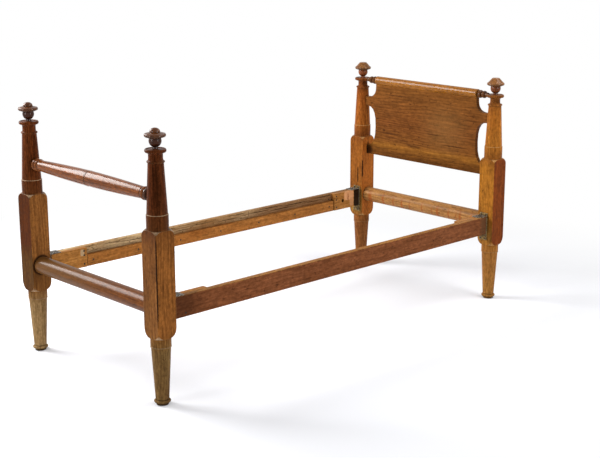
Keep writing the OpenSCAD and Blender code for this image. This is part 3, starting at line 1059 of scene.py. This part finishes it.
@dataclass
class Posts:
    """The four turned posts with their finials."""

    # Middle of a post and half the width of its block, in mm
    post_x: float = 975.0
    post_y: float = 421.0
    half_width: float = 42.5
    # Heights in mm where the turning changes
    ring: float = 229.0
    block_low: float = 265.0
    block_high: float = 677.0
    drum_top: float = 735.0
    collar: float = 974.0
    tip: float = 1050.0

    def head_tones(self) -> tuple[Tone, ...]:
        """Golden cherry and maple, duller at the feet.

        Returns:
            The tones up a head post.
        """
        return (
            Tone(0, "#3c2410", "#7c5a30", 0.6),
            Tone(22, "#6a421c", "#aa783c", 0.5),
            Tone(self.ring, "#6c401a", "#aa743a", 0.45),
            Tone(self.block_low + 40, "#6e4014", "#b4762c", 0.4),
            Tone(self.block_high - 40, "#704012", "#b67629", 0.4),
            Tone(self.block_high + 10, "#542c0c", "#a06228", 0.38),
            Tone(self.drum_top + 10, "#784212", "#c47e30", 0.36),
            Tone(900, "#703a10", "#ba732c", 0.36),
            Tone(self.collar - 30, "#46220a", "#8e5626", 0.36),
            Tone(self.tip, "#582e10", "#a4662e", 0.34),
        )

    def foot_tones(self, near: bool) -> tuple[Tone, ...]:
        """Olive-brown feet and blocks under dark stained shafts.

        Args:
            near: True for the near post, whose foot and shaft are darker.

        Returns:
            The tones up the foot post.
        """
        if near:
            foot_dark, foot_light = "#42301a", "#84663c"
            shaft_dark, shaft_light, shaft_roughness = "#180703", "#643218", 0.3
        else:
            foot_dark, foot_light = "#624a2c", "#a08258"
            shaft_dark, shaft_light, shaft_roughness = "#210a03", "#70391a", 0.32
        return (
            Tone(0, "#24160a", "#4c3a20", 0.65),
            Tone(18, foot_dark, foot_light, 0.55),
            Tone(self.ring - 20, foot_dark, foot_light, 0.5),
            Tone(self.block_low + 20, "#4e2c10", "#8e5c2b", 0.45),
            Tone(self.block_high - 60, "#4c2a10", "#8a5626", 0.42),
            Tone(self.block_high + 6, "#260e05", "#6a3c1e", 0.36),
            Tone(self.drum_top + 30, shaft_dark, shaft_light, shaft_roughness),
            Tone(self.collar, shaft_dark, shaft_light, shaft_roughness),
        )

    def finial_tones(self, ball: Tone, cap: Tone) -> tuple[Tone, ...]:
        """Dark ball, partly painted shade under the cap, then a rim and crown that hands rubbed
        lighter, with painted light on the crown.

        Args:
            ball: Tone of the ball and of the underside of the cap.
            cap: Tone of the crown; the rim is two thirds as bright.

        Returns:
            The tones up the finial.
        """
        return (
            replace(ball, height_mm=self.collar),
            replace(ball, height_mm=self.collar + 36),
            replace(cap.shaded(0.66), height_mm=self.collar + 44),
            replace(cap, height_mm=self.collar + 52),
            replace(cap, height_mm=self.tip),
        )

    def crack(self, x: float, y: float, low: float, high: float) -> Mark:
        """Dark shrinkage crack up a post.

        Args:
            x: Its place along the bed, in mm.
            y: Its place across the bed, in mm.
            low: Height of its lower end, in mm.
            high: Height of its upper end, in mm.

        Returns:
            The crack.
        """
        return Mark(
            (x, y, (low + high) / 2),
            (3.6, 3.6, (high - low) / 2),
            "#160b05",
            strength=0.97,
            softness=0.25,
            wander_mm=2.0,
            square=True,
        )

    def rubbed(self, dark: str, light: str, strength: float) -> tuple[FaceTone, ...]:
        """Pale tones on the turning's ledges: wood that hands and feet rubbed bare, and painted
        light where the ledges catch the lamps.

        Args:
            dark: Darker colour of the rubbed wood.
            light: Lighter colour of the rubbed wood.
            strength: Share of it over the stain.

        Returns:
            The shoulders of the block, the drum's step and the foot's ring.
        """
        low, high = self.block_low, self.block_high
        # Each ledge: its side, its heights, where the tone starts, and its soft edge; the pale tone
        # is part wear, part painted light
        ledges = (
            (Side.TOP, high - 22, high - 1, 0.35, 2.0),
            (Side.BOTTOM, low + 1, low + 26, 0.3, 2.0),
            (Side.TOP, self.drum_top - 3.5, self.drum_top + 0.5, 0.4, 0.5),
            (Side.TOP, self.ring - 3, self.ring + 5, 0.3, 0.5),
        )
        return tuple(
            FaceTone(side, dark, light, below, above, strength, start, start + 0.3, edge)
            for side, below, above, start, edge in ledges
        )

    def dress(self, nodes: dict[str, bpy.types.Object]) -> None:
        """Gives each post and finial its finish.

        Args:
            nodes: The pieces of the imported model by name.
        """
        x, y, half = self.post_x, self.post_y, self.half_width
        near_head = WoodFinish(
            name="cherry_near_head_post",
            grain=Grain.UPRIGHT,
            ring_share=0.34,
            tones=self.head_tones(),
            heart_mm=(x + 50, -y - 70, 0),
            faces=(
                FaceTone(Side.NEAR, "#4e1a06", "#863e18", self.block_low, self.block_high),
                FaceTone(Side.FOOT, "#6a4c20", "#a5803f", 290, 350, 0.55, edge_mm=40),
                *self.rubbed("#9a7446", "#c8a06a", 0.55),
            ),
            marks=(Mark((x - half, -400.7, 523.5), (4, 3, 3), "#2a1408"),),
        )
        far_head = WoodFinish(
            name="maple_far_head_post",
            grain=Grain.UPRIGHT,
            ring_share=0.34,
            tones=tuple(tone.shaded(0.85, 0.92) for tone in self.head_tones()),
            heart_mm=(x + 90, y + 20, 0),
            blotch="#7a3c14",
            faces=(
                FaceTone(Side.NEAR, "#824418", "#c47430", self.block_low, self.block_high),
                FaceTone(Side.FOOT, "#6a4c20", "#a5803f", 280, 400, 0.7, edge_mm=20),
                *self.rubbed("#9a7446", "#c8a06a", 0.55),
            ),
            marks=(
                self.crack(x - half + 2, y - half, 470, 560),
                self.crack(x - half, y - 12, 440, 520),
            ),
        )
        near_foot = WoodFinish(
            name="maple_near_foot_post",
            grain=Grain.UPRIGHT,
            ring_share=0.34,
            tones=self.foot_tones(near=True),
            heart_mm=(-x + 60, -y - 40, 0),
            faces=(
                FaceTone(Side.NEAR, "#583214", "#a0642e", self.block_low, self.block_high, 0.8),
                *self.rubbed("#8c7458", "#c4ac8e", 0.7),
            ),
            marks=(
                self.crack(-x - half, -y - half, 330, 655),
                # Painted shade: a dark band down the middle of the shaft as the camera sees it,
                # between lighter sides
                Mark((-x - 17, -y - 22, 790), (12, 12, 150), "#160803", 0.6, 0.3, 9.0),
            ),
        )
        far_foot = WoodFinish(
            name="maple_far_foot_post",
            grain=Grain.UPRIGHT,
            ring_share=0.34,
            tones=self.foot_tones(near=False),
            heart_mm=(-x - 80, y + 60, 0),
            faces=(
                FaceTone(Side.FOOT, "#220900", "#562600", self.block_low, self.block_high, 0.97),
                FaceTone(Side.FOOT, "#2e1a04", "#5e3e0c", self.block_low, 430, 0.9, edge_mm=40),
                FaceTone(Side.NEAR, "#583416", "#a86e38", self.block_low, self.block_high, 0.8),
                *self.rubbed("#8c7458", "#c4ac8e", 0.7),
            ),
            marks=(
                Mark((-x, y - half, 320), (60, 8, 75), "#4a3018", 0.5, 0.6, 12.0),
                # Painted shade: a dark ring round the end of the foot rail, where it enters the
                # post
                Mark((-x, y - half, 378), (43, 7, 43), "#22120a", 0.85, 0.1, 1.5),
            ),
        )
        # Dark balls and lighter caps: the wood's colours, with painted shade under the caps and
        # painted light on their crowns
        red_ball = Tone(0, "#461a08", "#8a4a20", 0.3)
        dark_ball = Tone(0, "#1c0a06", "#4a2616", 0.3)
        gold_cap = Tone(0, "#5c3212", "#9e6a36", 0.36)
        brown_cap = Tone(0, "#2e1406", "#70401e", 0.32)
        finishes = {
            "near_head": (near_head, red_ball, gold_cap),
            "far_head": (far_head, red_ball, gold_cap.shaded(0.86)),
            "near_foot": (near_foot, dark_ball, brown_cap),
            "far_foot": (far_foot, dark_ball, brown_cap),
        }
        for corner, (finish, ball, cap) in finishes.items():
            dress(nodes[corner + "_post"], finish.material())
            polished = replace(
                finish,
                name=finish.name.replace("post", "finial"),
                tones=self.finial_tones(ball, cap),
                worn="#c89468",
                worn_strength=0.55,
                coat=0.34,
                coat_roughness=0.1,
                faces=(),
                marks=(),
            )
            dress(nodes[corner + "_finial"], polished.material())
            LOG.info("post and finial: %s", corner)


@dataclass
class CrossPieces:
    """The round end rails, the blanket rail, the panel and its roll."""

    # Middles of the pieces, and the panel's front face, in mm
    end_x: float = 975.0
    rail_z: float = 378.0
    blanket_z: float = 800.0
    roll_z: float = 967.0
    panel_face_x: float = 965.0

    def head_rail(self) -> WoodFinish:
        """Light maple, satin, with red-brown rubbed bands round it.

        Returns:
            The finish.
        """
        bands = tuple(
            Mark((self.end_x - 20, y, self.rail_z - 14), (45, width, 34), "#8a4418", 0.75, 0.6, 4.0)
            for y, width in (
                (-330, 5),
                (-262, 7),
                (-238, 2.5),
                (-190, 4),
                (-120, 8),
                (-84, 2.5),
                (-20, 4),
                (60, 3),
                (112, 6),
                (170, 4),
                (240, 7),
                (330, 14),
            )
        )
        return WoodFinish(
            name="maple_head_rail",
            grain=Grain.ACROSS_BED,
            tones=(Tone(0, "#643f20", "#b07e48", 0.36),),
            heart_mm=(1040, 0, 340),
            coat=0.08,
            coat_roughness=0.3,
            blotch="#9a6028",
            mottle=0.14,
            speck_strength=0.7,
            speck_level=0.66,
            marks=bands,
        )

    def foot_rail(self) -> WoodFinish:
        """Brown maple with a hazy old finish.

        Returns:
            The finish.
        """
        return WoodFinish(
            name="maple_foot_rail",
            grain=Grain.ACROSS_BED,
            tones=(Tone(0, "#3a1b07", "#7a4518", 0.36),),
            heart_mm=(-1030, 0, 430),
            coat=0.17,
            coat_roughness=0.19,
            mottle=0.2,
            speck_strength=0.8,
            speck_level=0.64,
            marks=(
                Mark((-self.end_x, 300, self.rail_z), (60, 300, 60), "#5e4626", 0.6, 0.9, 14.0),
            ),
        )

    def blanket_rail(self) -> WoodFinish:
        """Red-brown maple, turned and polished, with painted shade in its scribed grooves and on
        the end bead by the near post.

        Returns:
            The finish.
        """
        x, z = -self.end_x, self.blanket_z
        # Painted shade in the middle groove and in the grooves before the end beads
        grooves = tuple(
            Mark((x, y, z), (45, half_width, 45), "#180a05", 0.9, 0.3, 0.6)
            for y, half_width in ((0, 1.6), (344.5, 2.2), (-344.5, 2.2))
        )
        return WoodFinish(
            name="maple_blanket_rail",
            grain=Grain.ACROSS_BED,
            tones=(Tone(0, "#3a1705", "#8e4e1b", 0.3),),
            heart_mm=(-1010, 0, 850),
            coat=0.33,
            coat_roughness=0.17,
            # The end bead by the near post is painted in shade as well
            marks=(*grooves, Mark((x, -376, z), (45, 11, 45), "#1e0c06", 0.75, 0.3, 3.0)),
        )

    def panel(self) -> WoodFinish:
        """Brown maple board with streaks across the bed, and a low moulding in painted light: a
        paler band with painted shade below it.

        Returns:
            The finish.
        """
        face_x = self.panel_face_x
        streaks = tuple(
            Mark((face_x, y, z), (8, length, width), "#2e190c", 0.6, 0.5, 2.5)
            for y, z, length, width in (
                (215, 712, 60, 3.5),
                (262, 724, 9, 6),
                (60, 668, 48, 4),
                (128, 686, 26, 3),
                (-60, 742, 40, 2.5),
                (-190, 700, 70, 3),
                (180, 905, 60, 2.5),
            )
        )
        return WoodFinish(
            name="maple_headboard_panel",
            grain=Grain.ACROSS_BED,
            # Painted light on the low moulding: darker at 600 mm, where it faces down, and paler at
            # 650 mm, where it faces up
            tones=(
                Tone(0, "#46270b", "#80501e", 0.42),
                Tone(600, "#3a1f09", "#704319", 0.42),
                Tone(628, "#44270c", "#804f1e", 0.42),
                Tone(650, "#663c12", "#9c6628", 0.4),
                Tone(675, "#4a2a0f", "#865223", 0.42),
                Tone(760, "#46260e", "#824c22", 0.42),
                Tone(900, "#4a2a0f", "#865224", 0.42),
                Tone(1000, "#543010", "#8c5826", 0.4),
            ),
            heart_mm=(face_x + 40, 0, 560),
            ring_mm=14.0,
            ring_share=0.35,
            streak_mm=6.0,
            speck_strength=0.6,
            speck_level=0.65,
            blotch="#4c2c10",
            blotch_mm=38.0,
            blotch_strength=0.6,
            mottle=0.14,
            mottle_mm=13.0,
            marks=(
                Mark((face_x, -130, 775), (8, 110, 90), "#9c7846", 0.2, 0.95, 25.0),
                *streaks,
                # Painted shade in the gap between the panel's end and the far head post
                Mark((face_x, 378, 615), (16, 40, 24), "#2a160b", 0.8, 0.3, 2.0),
            ),
        )

    def roll(self) -> WoodFinish:
        """Golden maple, turned and polished, with dark beads at its ends.

        Returns:
            The finish.
        """
        return WoodFinish(
            name="maple_headboard_roll",
            grain=Grain.ACROSS_BED,
            tones=(Tone(0, "#64390c", "#a06622", 0.3),),
            heart_mm=(1030, 0, 990),
            coat=0.3,
            coat_roughness=0.05,
            specular=0.02,
            marks=tuple(
                Mark((self.end_x, y, self.roll_z), (40, 31, 40), "#3c1f0e", 0.75, 0.12, 1.0)
                for y in (-351, 351)
            ),
        )

    def dress(self, nodes: dict[str, bpy.types.Object]) -> None:
        """Gives each piece that lies across the bed its finish.

        Args:
            nodes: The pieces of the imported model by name.
        """
        for node, finish in (
            ("head_end_rail", self.head_rail()),
            ("foot_end_rail", self.foot_rail()),
            ("blanket_rail", self.blanket_rail()),
            ("headboard_panel", self.panel()),
            ("headboard_roll", self.roll()),
        ):
            dress(nodes[node], finish.material())
            LOG.info("cross piece: %s", node)


@dataclass
class SideRails:
    """The two side rails: boards, ledger strips and end blocks, with nails."""

    # Faces of the far rail in mm from the middle of the bed
    outer_y: float = 437.5
    inner_y: float = 412.5
    block_face_y: float = 389.5
    nail_head_d: float = 7.0
    nail_head_h: float = 1.2

    def near_board(self) -> WoodFinish:
        """Maple board, red outside, rubbed to bare gold along the top.

        Returns:
            The finish.
        """
        return WoodFinish(
            name="maple_near_rail_board",
            grain=Grain.ALONG_BED,
            tones=(Tone(0, "#6c421a", "#b07c40", 0.5),),
            heart_mm=(0, -500, 300),
            ring_mm=12.0,
            streak_mm=7.0,
            faces=(FaceTone(Side.NEAR, "#583019", "#865032", strength=0.97),),
            ring_share=0.12,
            worn="#dcae70",
            worn_strength=0.85,
            edge_mm=2.6,
            blotch="#5a3014",
            blotch_mm=70.0,
            blotch_strength=0.4,
            speck_level=0.64,
            marks=(
                Mark((-880, -425, 375), (70, 60, 90), "#30180c", 0.6, 0.8, 14.0),
                Mark((905, -425, 375), (26, 60, 90), "#4c3826", 0.6, 0.5, 10.0),
            ),
        )

    def far_board(self) -> WoodFinish:
        """Maple board, sawn rough and grey-brown inside, red outside.

        Old drying cracks run along its inner face, and a saw cut stands between them.

        Returns:
            The finish.
        """
        cracks = tuple(
            Mark((x, self.inner_y, z), (length, 8, width), "#1e1108", 0.9, 0.6, 1.2)
            for x, z, length, width in (
                (-600, 399, 50, 1.3),
                (-470, 391, 70, 1.3),
                (-330, 402, 60, 1.3),
                (-210, 386, 45, 1.3),
                (-90, 396, 80, 1.3),
                (70, 388, 70, 1.6),
                (130, 402, 40, 1.6),
                (250, 394, 55, 2.2),
                (330, 402, 70, 1.8),
                (400, 387, 80, 2.0),
                (500, 396, 90, 2.2),
                (620, 389, 60, 1.8),
                (690, 401, 55, 2.0),
            )
        )
        return WoodFinish(
            name="maple_far_rail_board",
            grain=Grain.ALONG_BED,
            tones=(Tone(0, "#5a442a", "#d8b98c", 0.8),),
            heart_mm=(0, 520, 260),
            marks=(
                Mark((-100, 425, 400), (290, 60, 60), "#7c5026", 0.4, 0.5, 20.0),
                Mark((570, 425, 400), (380, 60, 60), "#6a4020", 0.72, 0.4, 8.0),
                Mark((190, self.inner_y, 396), (1.4, 8, 14), "#1e1208", 0.85, 0.2, 0.8),
                *cracks,
            ),
            mottle=0.16,
            streak_mm=5.0,
            faces=(FaceTone(Side.FAR, "#3e180a", "#7e4220", strength=0.97),),
            blotch="#8a5c2e",
            blotch_strength=0.6,
            speck_strength=0.7,
            speck_level=0.62,
            relief_mm=0.5,
        )

    def ledger(self, name: str, side: int) -> WoodFinish:
        """Orange pine strip, satin.

        Args:
            name: Name of the finish.
            side: -1 for the near rail's, 1 for the far rail's.

        Returns:
            The finish.
        """
        return WoodFinish(
            name=name,
            grain=Grain.ALONG_BED,
            tones=(Tone(0, "#6c401a", "#b0743a", 0.5),),
            heart_mm=(0, side * 440, 200),
            ring_mm=8.0,
            blotch="#8a4c1c",
            speck_strength=0.6,
        )

    def block(self, name: str, side: int, marks: tuple[Mark, ...] = ()) -> WoodFinish:
        """Orange maple block at the end of a rail.

        Args:
            name: Name of the finish.
            side: -1 for the near rail's, 1 for the far rail's.
            marks: Places where the block is broken or bare, and black painted for iron and shade.

        Returns:
            The finish.
        """
        return WoodFinish(
            name=name,
            grain=Grain.ALONG_BED,
            tones=(Tone(0, "#70441c", "#b47c40", 0.5),),
            heart_mm=(0, side * 430, 440),
            ring_mm=7.0,
            blotch="#7a4a20",
            marks=marks,
        )

    def nail(
        self, name: str, centre: tuple[float, float, float], side: Side, body: str
    ) -> bpy.types.Object:
        """Hand-cut nail head, domed and a little out of round.

        Args:
            name: Name of the piece.
            centre: Place of the head on the wood, in mm.
            side: Direction that the head faces.
            body: Body that carries the wood.

        Returns:
            The nail.
        """
        mesh = bmesh.new()
        corners = 14
        # Radius as a share of the head's diameter, and height as a share of its own
        profile = ((0.5, -0.3), (0.5, 0.35), (0.42, 0.75), (0.25, 0.95))
        loops = []
        for reach, rise in profile:
            loop = []
            for i in range(corners):
                turn = 2 * math.pi * i / corners
                wobble = 1 + 0.08 * math.sin(3 * turn + 1) + 0.05 * math.sin(5 * turn)
                loop.append(
                    mesh.verts.new(
                        (
                            self.nail_head_d * MM * reach * wobble * math.cos(turn),
                            self.nail_head_d * MM * reach * wobble * math.sin(turn),
                            self.nail_head_h * MM * rise,
                        )
                    )
                )
            loops.append(loop)
        for lower, upper in zip(loops, loops[1:]):
            for i in range(corners):
                j = (i + 1) % corners
                mesh.faces.new((lower[i], lower[j], upper[j], upper[i]))
        mesh.faces.new(loops[-1])
        mesh.faces.new(reversed(loops[0]))
        data = bpy.data.meshes.new(name)
        mesh.to_mesh(data)
        mesh.free()
        for face in data.polygons:
            face.use_smooth = True
        piece = bpy.data.objects.new(name, data)
        bpy.context.scene.collection.objects.link(piece)
        piece.rotation_euler = Vector(side.value).to_track_quat("Z", "Y").to_euler()
        piece.location = Vector(centre) * MM
        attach(piece, body)
        return piece

    def dress(self, nodes: dict[str, bpy.types.Object]) -> None:
        """Gives the rails their finishes and drives in their nails.

        Args:
            nodes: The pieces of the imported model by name.
        """
        y = self.block_face_y
        # The far head block's broken corner: bare raw wood, and black painted for the iron and the
        # shade in the gap behind it
        broken_and_shaded = (
            Mark((848, y, 388), (34, 8, 24), "#d2986a", 0.92, 0.2, 6.0, True),
            Mark((868, y, 352), (14, 8, 22), "#bc865a", 0.88, 0.3, 5.0, True),
            Mark((842, y, 380), (5, 8, 20), "#8a4426", 0.7, 0.4, 6.0),
            # Black painted on the block: the iron's end seen through the break, and the shade in
            # the gap behind it
            Mark((907, y, 366), (23, 8, 60), "#140e0a", 0.96, 0.08, 5.0, True),
        )
        bare = Mark((-768, y, 388), (9, 6, 14), "#b0a080", 0.6, 0.15, 1.0, True)
        finishes = {
            "near_rail_board": self.near_board(),
            "far_rail_board": self.far_board(),
            "near_rail_ledger": self.ledger("pine_near_ledger", -1),
            "far_rail_ledger": self.ledger("pine_far_ledger", 1),
            "near_rail_head_block": self.block("maple_near_head_block", -1),
            "near_rail_foot_block": self.block("maple_near_foot_block", -1),
            "far_rail_head_block": self.block("maple_far_head_block", 1, broken_and_shaded),
            "far_rail_foot_block": self.block("maple_far_foot_block", 1, (bare,)),
        }
        for node, finish in finishes.items():
            dress(nodes[node], finish.material())
            LOG.info("rail piece: %s", node)
        iron = IronFinish("blackened_nail").material()
        nails = (
            self.nail("near_rail_nail", (-868, -self.outer_y, 338), Side.NEAR, "near_rail"),
            self.nail("far_rail_nail", (726, self.inner_y, 381), Side.NEAR, "far_rail"),
        )
        for piece in nails:
            dress(piece, iron)
            LOG.info("nail: %s", piece.name)


@dataclass
class Irons:
    """Post plates, rail irons and screws."""

    plates: tuple[str, ...] = tuple(
        f"{side}_{end}_post_plate" for side in ("near", "far") for end in ("head", "foot")
    )
    hooks: tuple[str, ...] = tuple(
        f"{side}_rail_{end}_iron" for side in ("near", "far") for end in ("head", "foot")
    )
    screws: tuple[str, ...] = ("post_plate_screws", "near_rail_screws", "far_rail_screws")

    def dress(self, nodes: dict[str, bpy.types.Object]) -> None:
        """Gives the irons and screws their finishes.

        Args:
            nodes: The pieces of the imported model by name.
        """
        plate = IronFinish(
            "painted_iron_plate",
            black="#5c4826",
            brown="#94763e",
            bright="#d8cca4",
            clean_metal=0.1,
            covered_metal=0.0,
        ).material()
        # Near-white bright colour: the hook's rubbed edges, and painted glints on its spots
        hook = IronFinish(
            "forged_iron_hook",
            black="#0c0907",
            brown="#5c4a2e",
            bright="#e0d8cc",
            rust_mm=4.5,
            bright_strength=0.95,
            painted_glint_strength=0.8,
            clean_metal=0.05,
            covered_metal=0.0,
        ).material()
        screw = IronFinish(
            "rusty_screw", black="#1e150e", brown="#3a2214", bright="#6a5644"
        ).material()
        for names, material in (
            (self.plates, plate),
            (self.hooks, hook),
            (self.screws, screw),
        ):
            for name in names:
                dress(nodes[name], material)
                LOG.info("iron: %s", name)


# ---- Studio -----------------------------------------------------------------


@dataclass(frozen=True)
class SoftBox:
    """A rectangular soft lamp that looks at a point."""

    name: str
    place: tuple[float, float, float]
    target: tuple[float, float, float]
    width: float
    height: float
    watts: float

    def build(self) -> None:
        """Hangs the lamp."""
        data = bpy.data.lights.new(self.name, "AREA")
        data.shape = "RECTANGLE"
        data.size = self.width
        data.size_y = self.height
        data.energy = self.watts
        lamp = bpy.data.objects.new(self.name, data)
        lamp.location = self.place
        aim = Vector(self.target) - Vector(self.place)
        lamp.rotation_euler = aim.to_track_quat("-Z", "Y").to_euler()
        lamp.visible_camera = False
        bpy.context.scene.collection.objects.link(lamp)


@dataclass
class Studio:
    """White floor, soft lamps and the camera of the photograph."""

    floor_radius: float = 14.0
    floor_colour: str = "#f4f4f5"
    # The paper as the camera sees it, so that faint shadows stay below white
    seen_colour: str = "#e3e4e8"
    # Faint glow of the paper, which keeps the shadows on it pale
    lift_colour: str = "#fdfdff"
    floor_lift: float = 0.14
    fade_from: float = 1.1
    fade_to: float = 2.6
    sky_strength: float = 0.3
    picture_width_px: float = 600.0
    focal_px: float = 1268.0
    sensor_mm: float = 36.0
    eye: tuple[float, float, float] = (-3.668, -4.014, 1.809)
    pitch_down: float = 14.24
    yaw: float = 46.53
    roll: float = 0.04
    boxes: tuple[SoftBox, ...] = field(
        default_factory=lambda: (
            SoftBox("far_box", (-1.75, 2.7, 2.5), (-0.5, 0.0, 0.7), 2.0, 1.9, 195),
            SoftBox("top_box", (1.3, -1.5, 2.9), (-0.2, 0.0, 0.3), 1.8, 1.8, 52),
            SoftBox("foot_box", (-7.0, 0.8, 2.2), (0.0, 0.0, 0.5), 2.4, 2.4, 165),
            SoftBox("near_box", (0.9, -7.0, 2.2), (0.0, 0.0, 0.5), 2.4, 2.4, 150),
        )
    )

    def camera(self) -> None:
        """Sets the camera at the photograph's angle and field of view."""
        data = bpy.data.cameras.new("photo_camera")
        data.sensor_fit = "HORIZONTAL"
        data.sensor_width = self.sensor_mm
        data.lens = self.focal_px / self.picture_width_px * self.sensor_mm
        data.clip_end = 100.0
        eye = bpy.data.objects.new("photo_camera", data)
        eye.location = self.eye
        eye.rotation_euler = Euler(
            (
                math.radians(90 - self.pitch_down),
                math.radians(self.roll),
                math.radians(self.yaw - 90),
            )
        )
        bpy.context.scene.collection.objects.link(eye)
        bpy.context.scene.camera = eye

    def floor(self) -> bpy.types.Object:
        """Matt white floor that fades to the white background.

        Returns:
            The floor, which isn't part of the bed.
        """
        mesh = bmesh.new()
        bmesh.ops.create_circle(
            mesh, cap_ends=True, segments=96, radius=self.floor_radius
        )
        data = bpy.data.meshes.new("floor")
        mesh.to_mesh(data)
        mesh.free()
        floor = bpy.data.objects.new("floor", data)
        bpy.context.scene.collection.objects.link(floor)
        material = bpy.data.materials.new("white_paper")
        material.use_nodes = True
        tree = material.node_tree
        tree.nodes.clear()
        place = add_node(tree, "TexCoord")
        distance = add_node(
            tree,
            "VectorMath",
            {"operation": "LENGTH"},
            {0: place.outputs["Object"]},
        )
        fade = add_node(
            tree,
            "MapRange",
            {"interpolation_type": "SMOOTHSTEP"},
            {
                "Value": distance.outputs["Value"],
                "From Min": self.fade_from,
                "From Max": self.fade_to,
            },
        )
        paper = add_node(
            tree, "BsdfDiffuse", {}, {"Color": linear(self.floor_colour)}
        )
        seen = self.seen_rays(tree)
        lift = add_node(
            tree,
            "Emission",
            {},
            {"Color": linear(self.lift_colour), "Strength": self.floor_lift},
        )
        shown = add_node(tree, "BsdfDiffuse", {}, {"Color": linear(self.seen_colour)})
        lifted = add_node(
            tree, "AddShader", {}, {0: shown.outputs[0], 1: lift.outputs[0]}
        )
        white = add_node(tree, "Emission", {}, {"Strength": 1.0})
        faded = add_node(
            tree,
            "MixShader",
            {},
            {0: fade.outputs[0], 1: lifted.outputs[0], 2: white.outputs[0]},
        )
        result = add_node(
            tree,
            "MixShader",
            {},
            {0: seen, 1: paper.outputs[0], 2: faded.outputs[0]},
        )
        add_node(tree, "OutputMaterial", {}, {"Surface": result.outputs[0]})
        data.materials.append(material)
        return floor

    def seen_rays(self, tree: bpy.types.NodeTree) -> bpy.types.NodeSocket:
        """Tells the rays that show the background from those that light the bed.

        Args:
            tree: Node tree of the floor or the world.

        Returns:
            1 where the background is seen, straight, mirrored or through, else 0.
        """
        rays = add_node(tree, "LightPath")
        mirrored = add_node(
            tree,
            "Math",
            {"operation": "MAXIMUM"},
            {0: rays.outputs["Is Camera Ray"], 1: rays.outputs["Is Glossy Ray"]},
        )
        return add_node(
            tree,
            "Math",
            {"operation": "MAXIMUM"},
            {0: mirrored.outputs[0], 1: rays.outputs["Is Transmission Ray"]},
        ).outputs[0]

    def world(self) -> None:
        """Even white surround, which shows as plain white."""
        world = bpy.data.worlds.new("studio")
        world.use_nodes = True
        tree = world.node_tree
        tree.nodes.clear()
        strength = add_node(
            tree,
            "MapRange",
            {},
            {"Value": self.seen_rays(tree), "To Min": self.sky_strength},
        )
        sky = add_node(
            tree,
            "Background",
            {},
            {"Color": (1.0, 1.0, 1.0, 1.0), "Strength": strength.outputs[0]},
        )
        add_node(tree, "OutputWorld", {}, {"Surface": sky.outputs[0]})
        bpy.context.scene.world = world

    def build(self) -> None:
        """Sets up the whole studio."""
        bpy.context.scene.view_settings.view_transform = "Standard"
        self.floor()
        self.world()
        self.camera()
        for box in self.boxes:
            box.build()
        LOG.info("studio with %d lamps", len(self.boxes))


def main() -> None:
    """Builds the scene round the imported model, piece by piece."""
    logging.basicConfig(level=logging.INFO, format="%(name)s: %(message)s")
    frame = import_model()
    nodes = frame["nodes"]
    Posts().dress(nodes)
    CrossPieces().dress(nodes)
    SideRails().dress(nodes)
    Irons().dress(nodes)
    Studio().build()


if __name__ == "__main__":
    main()
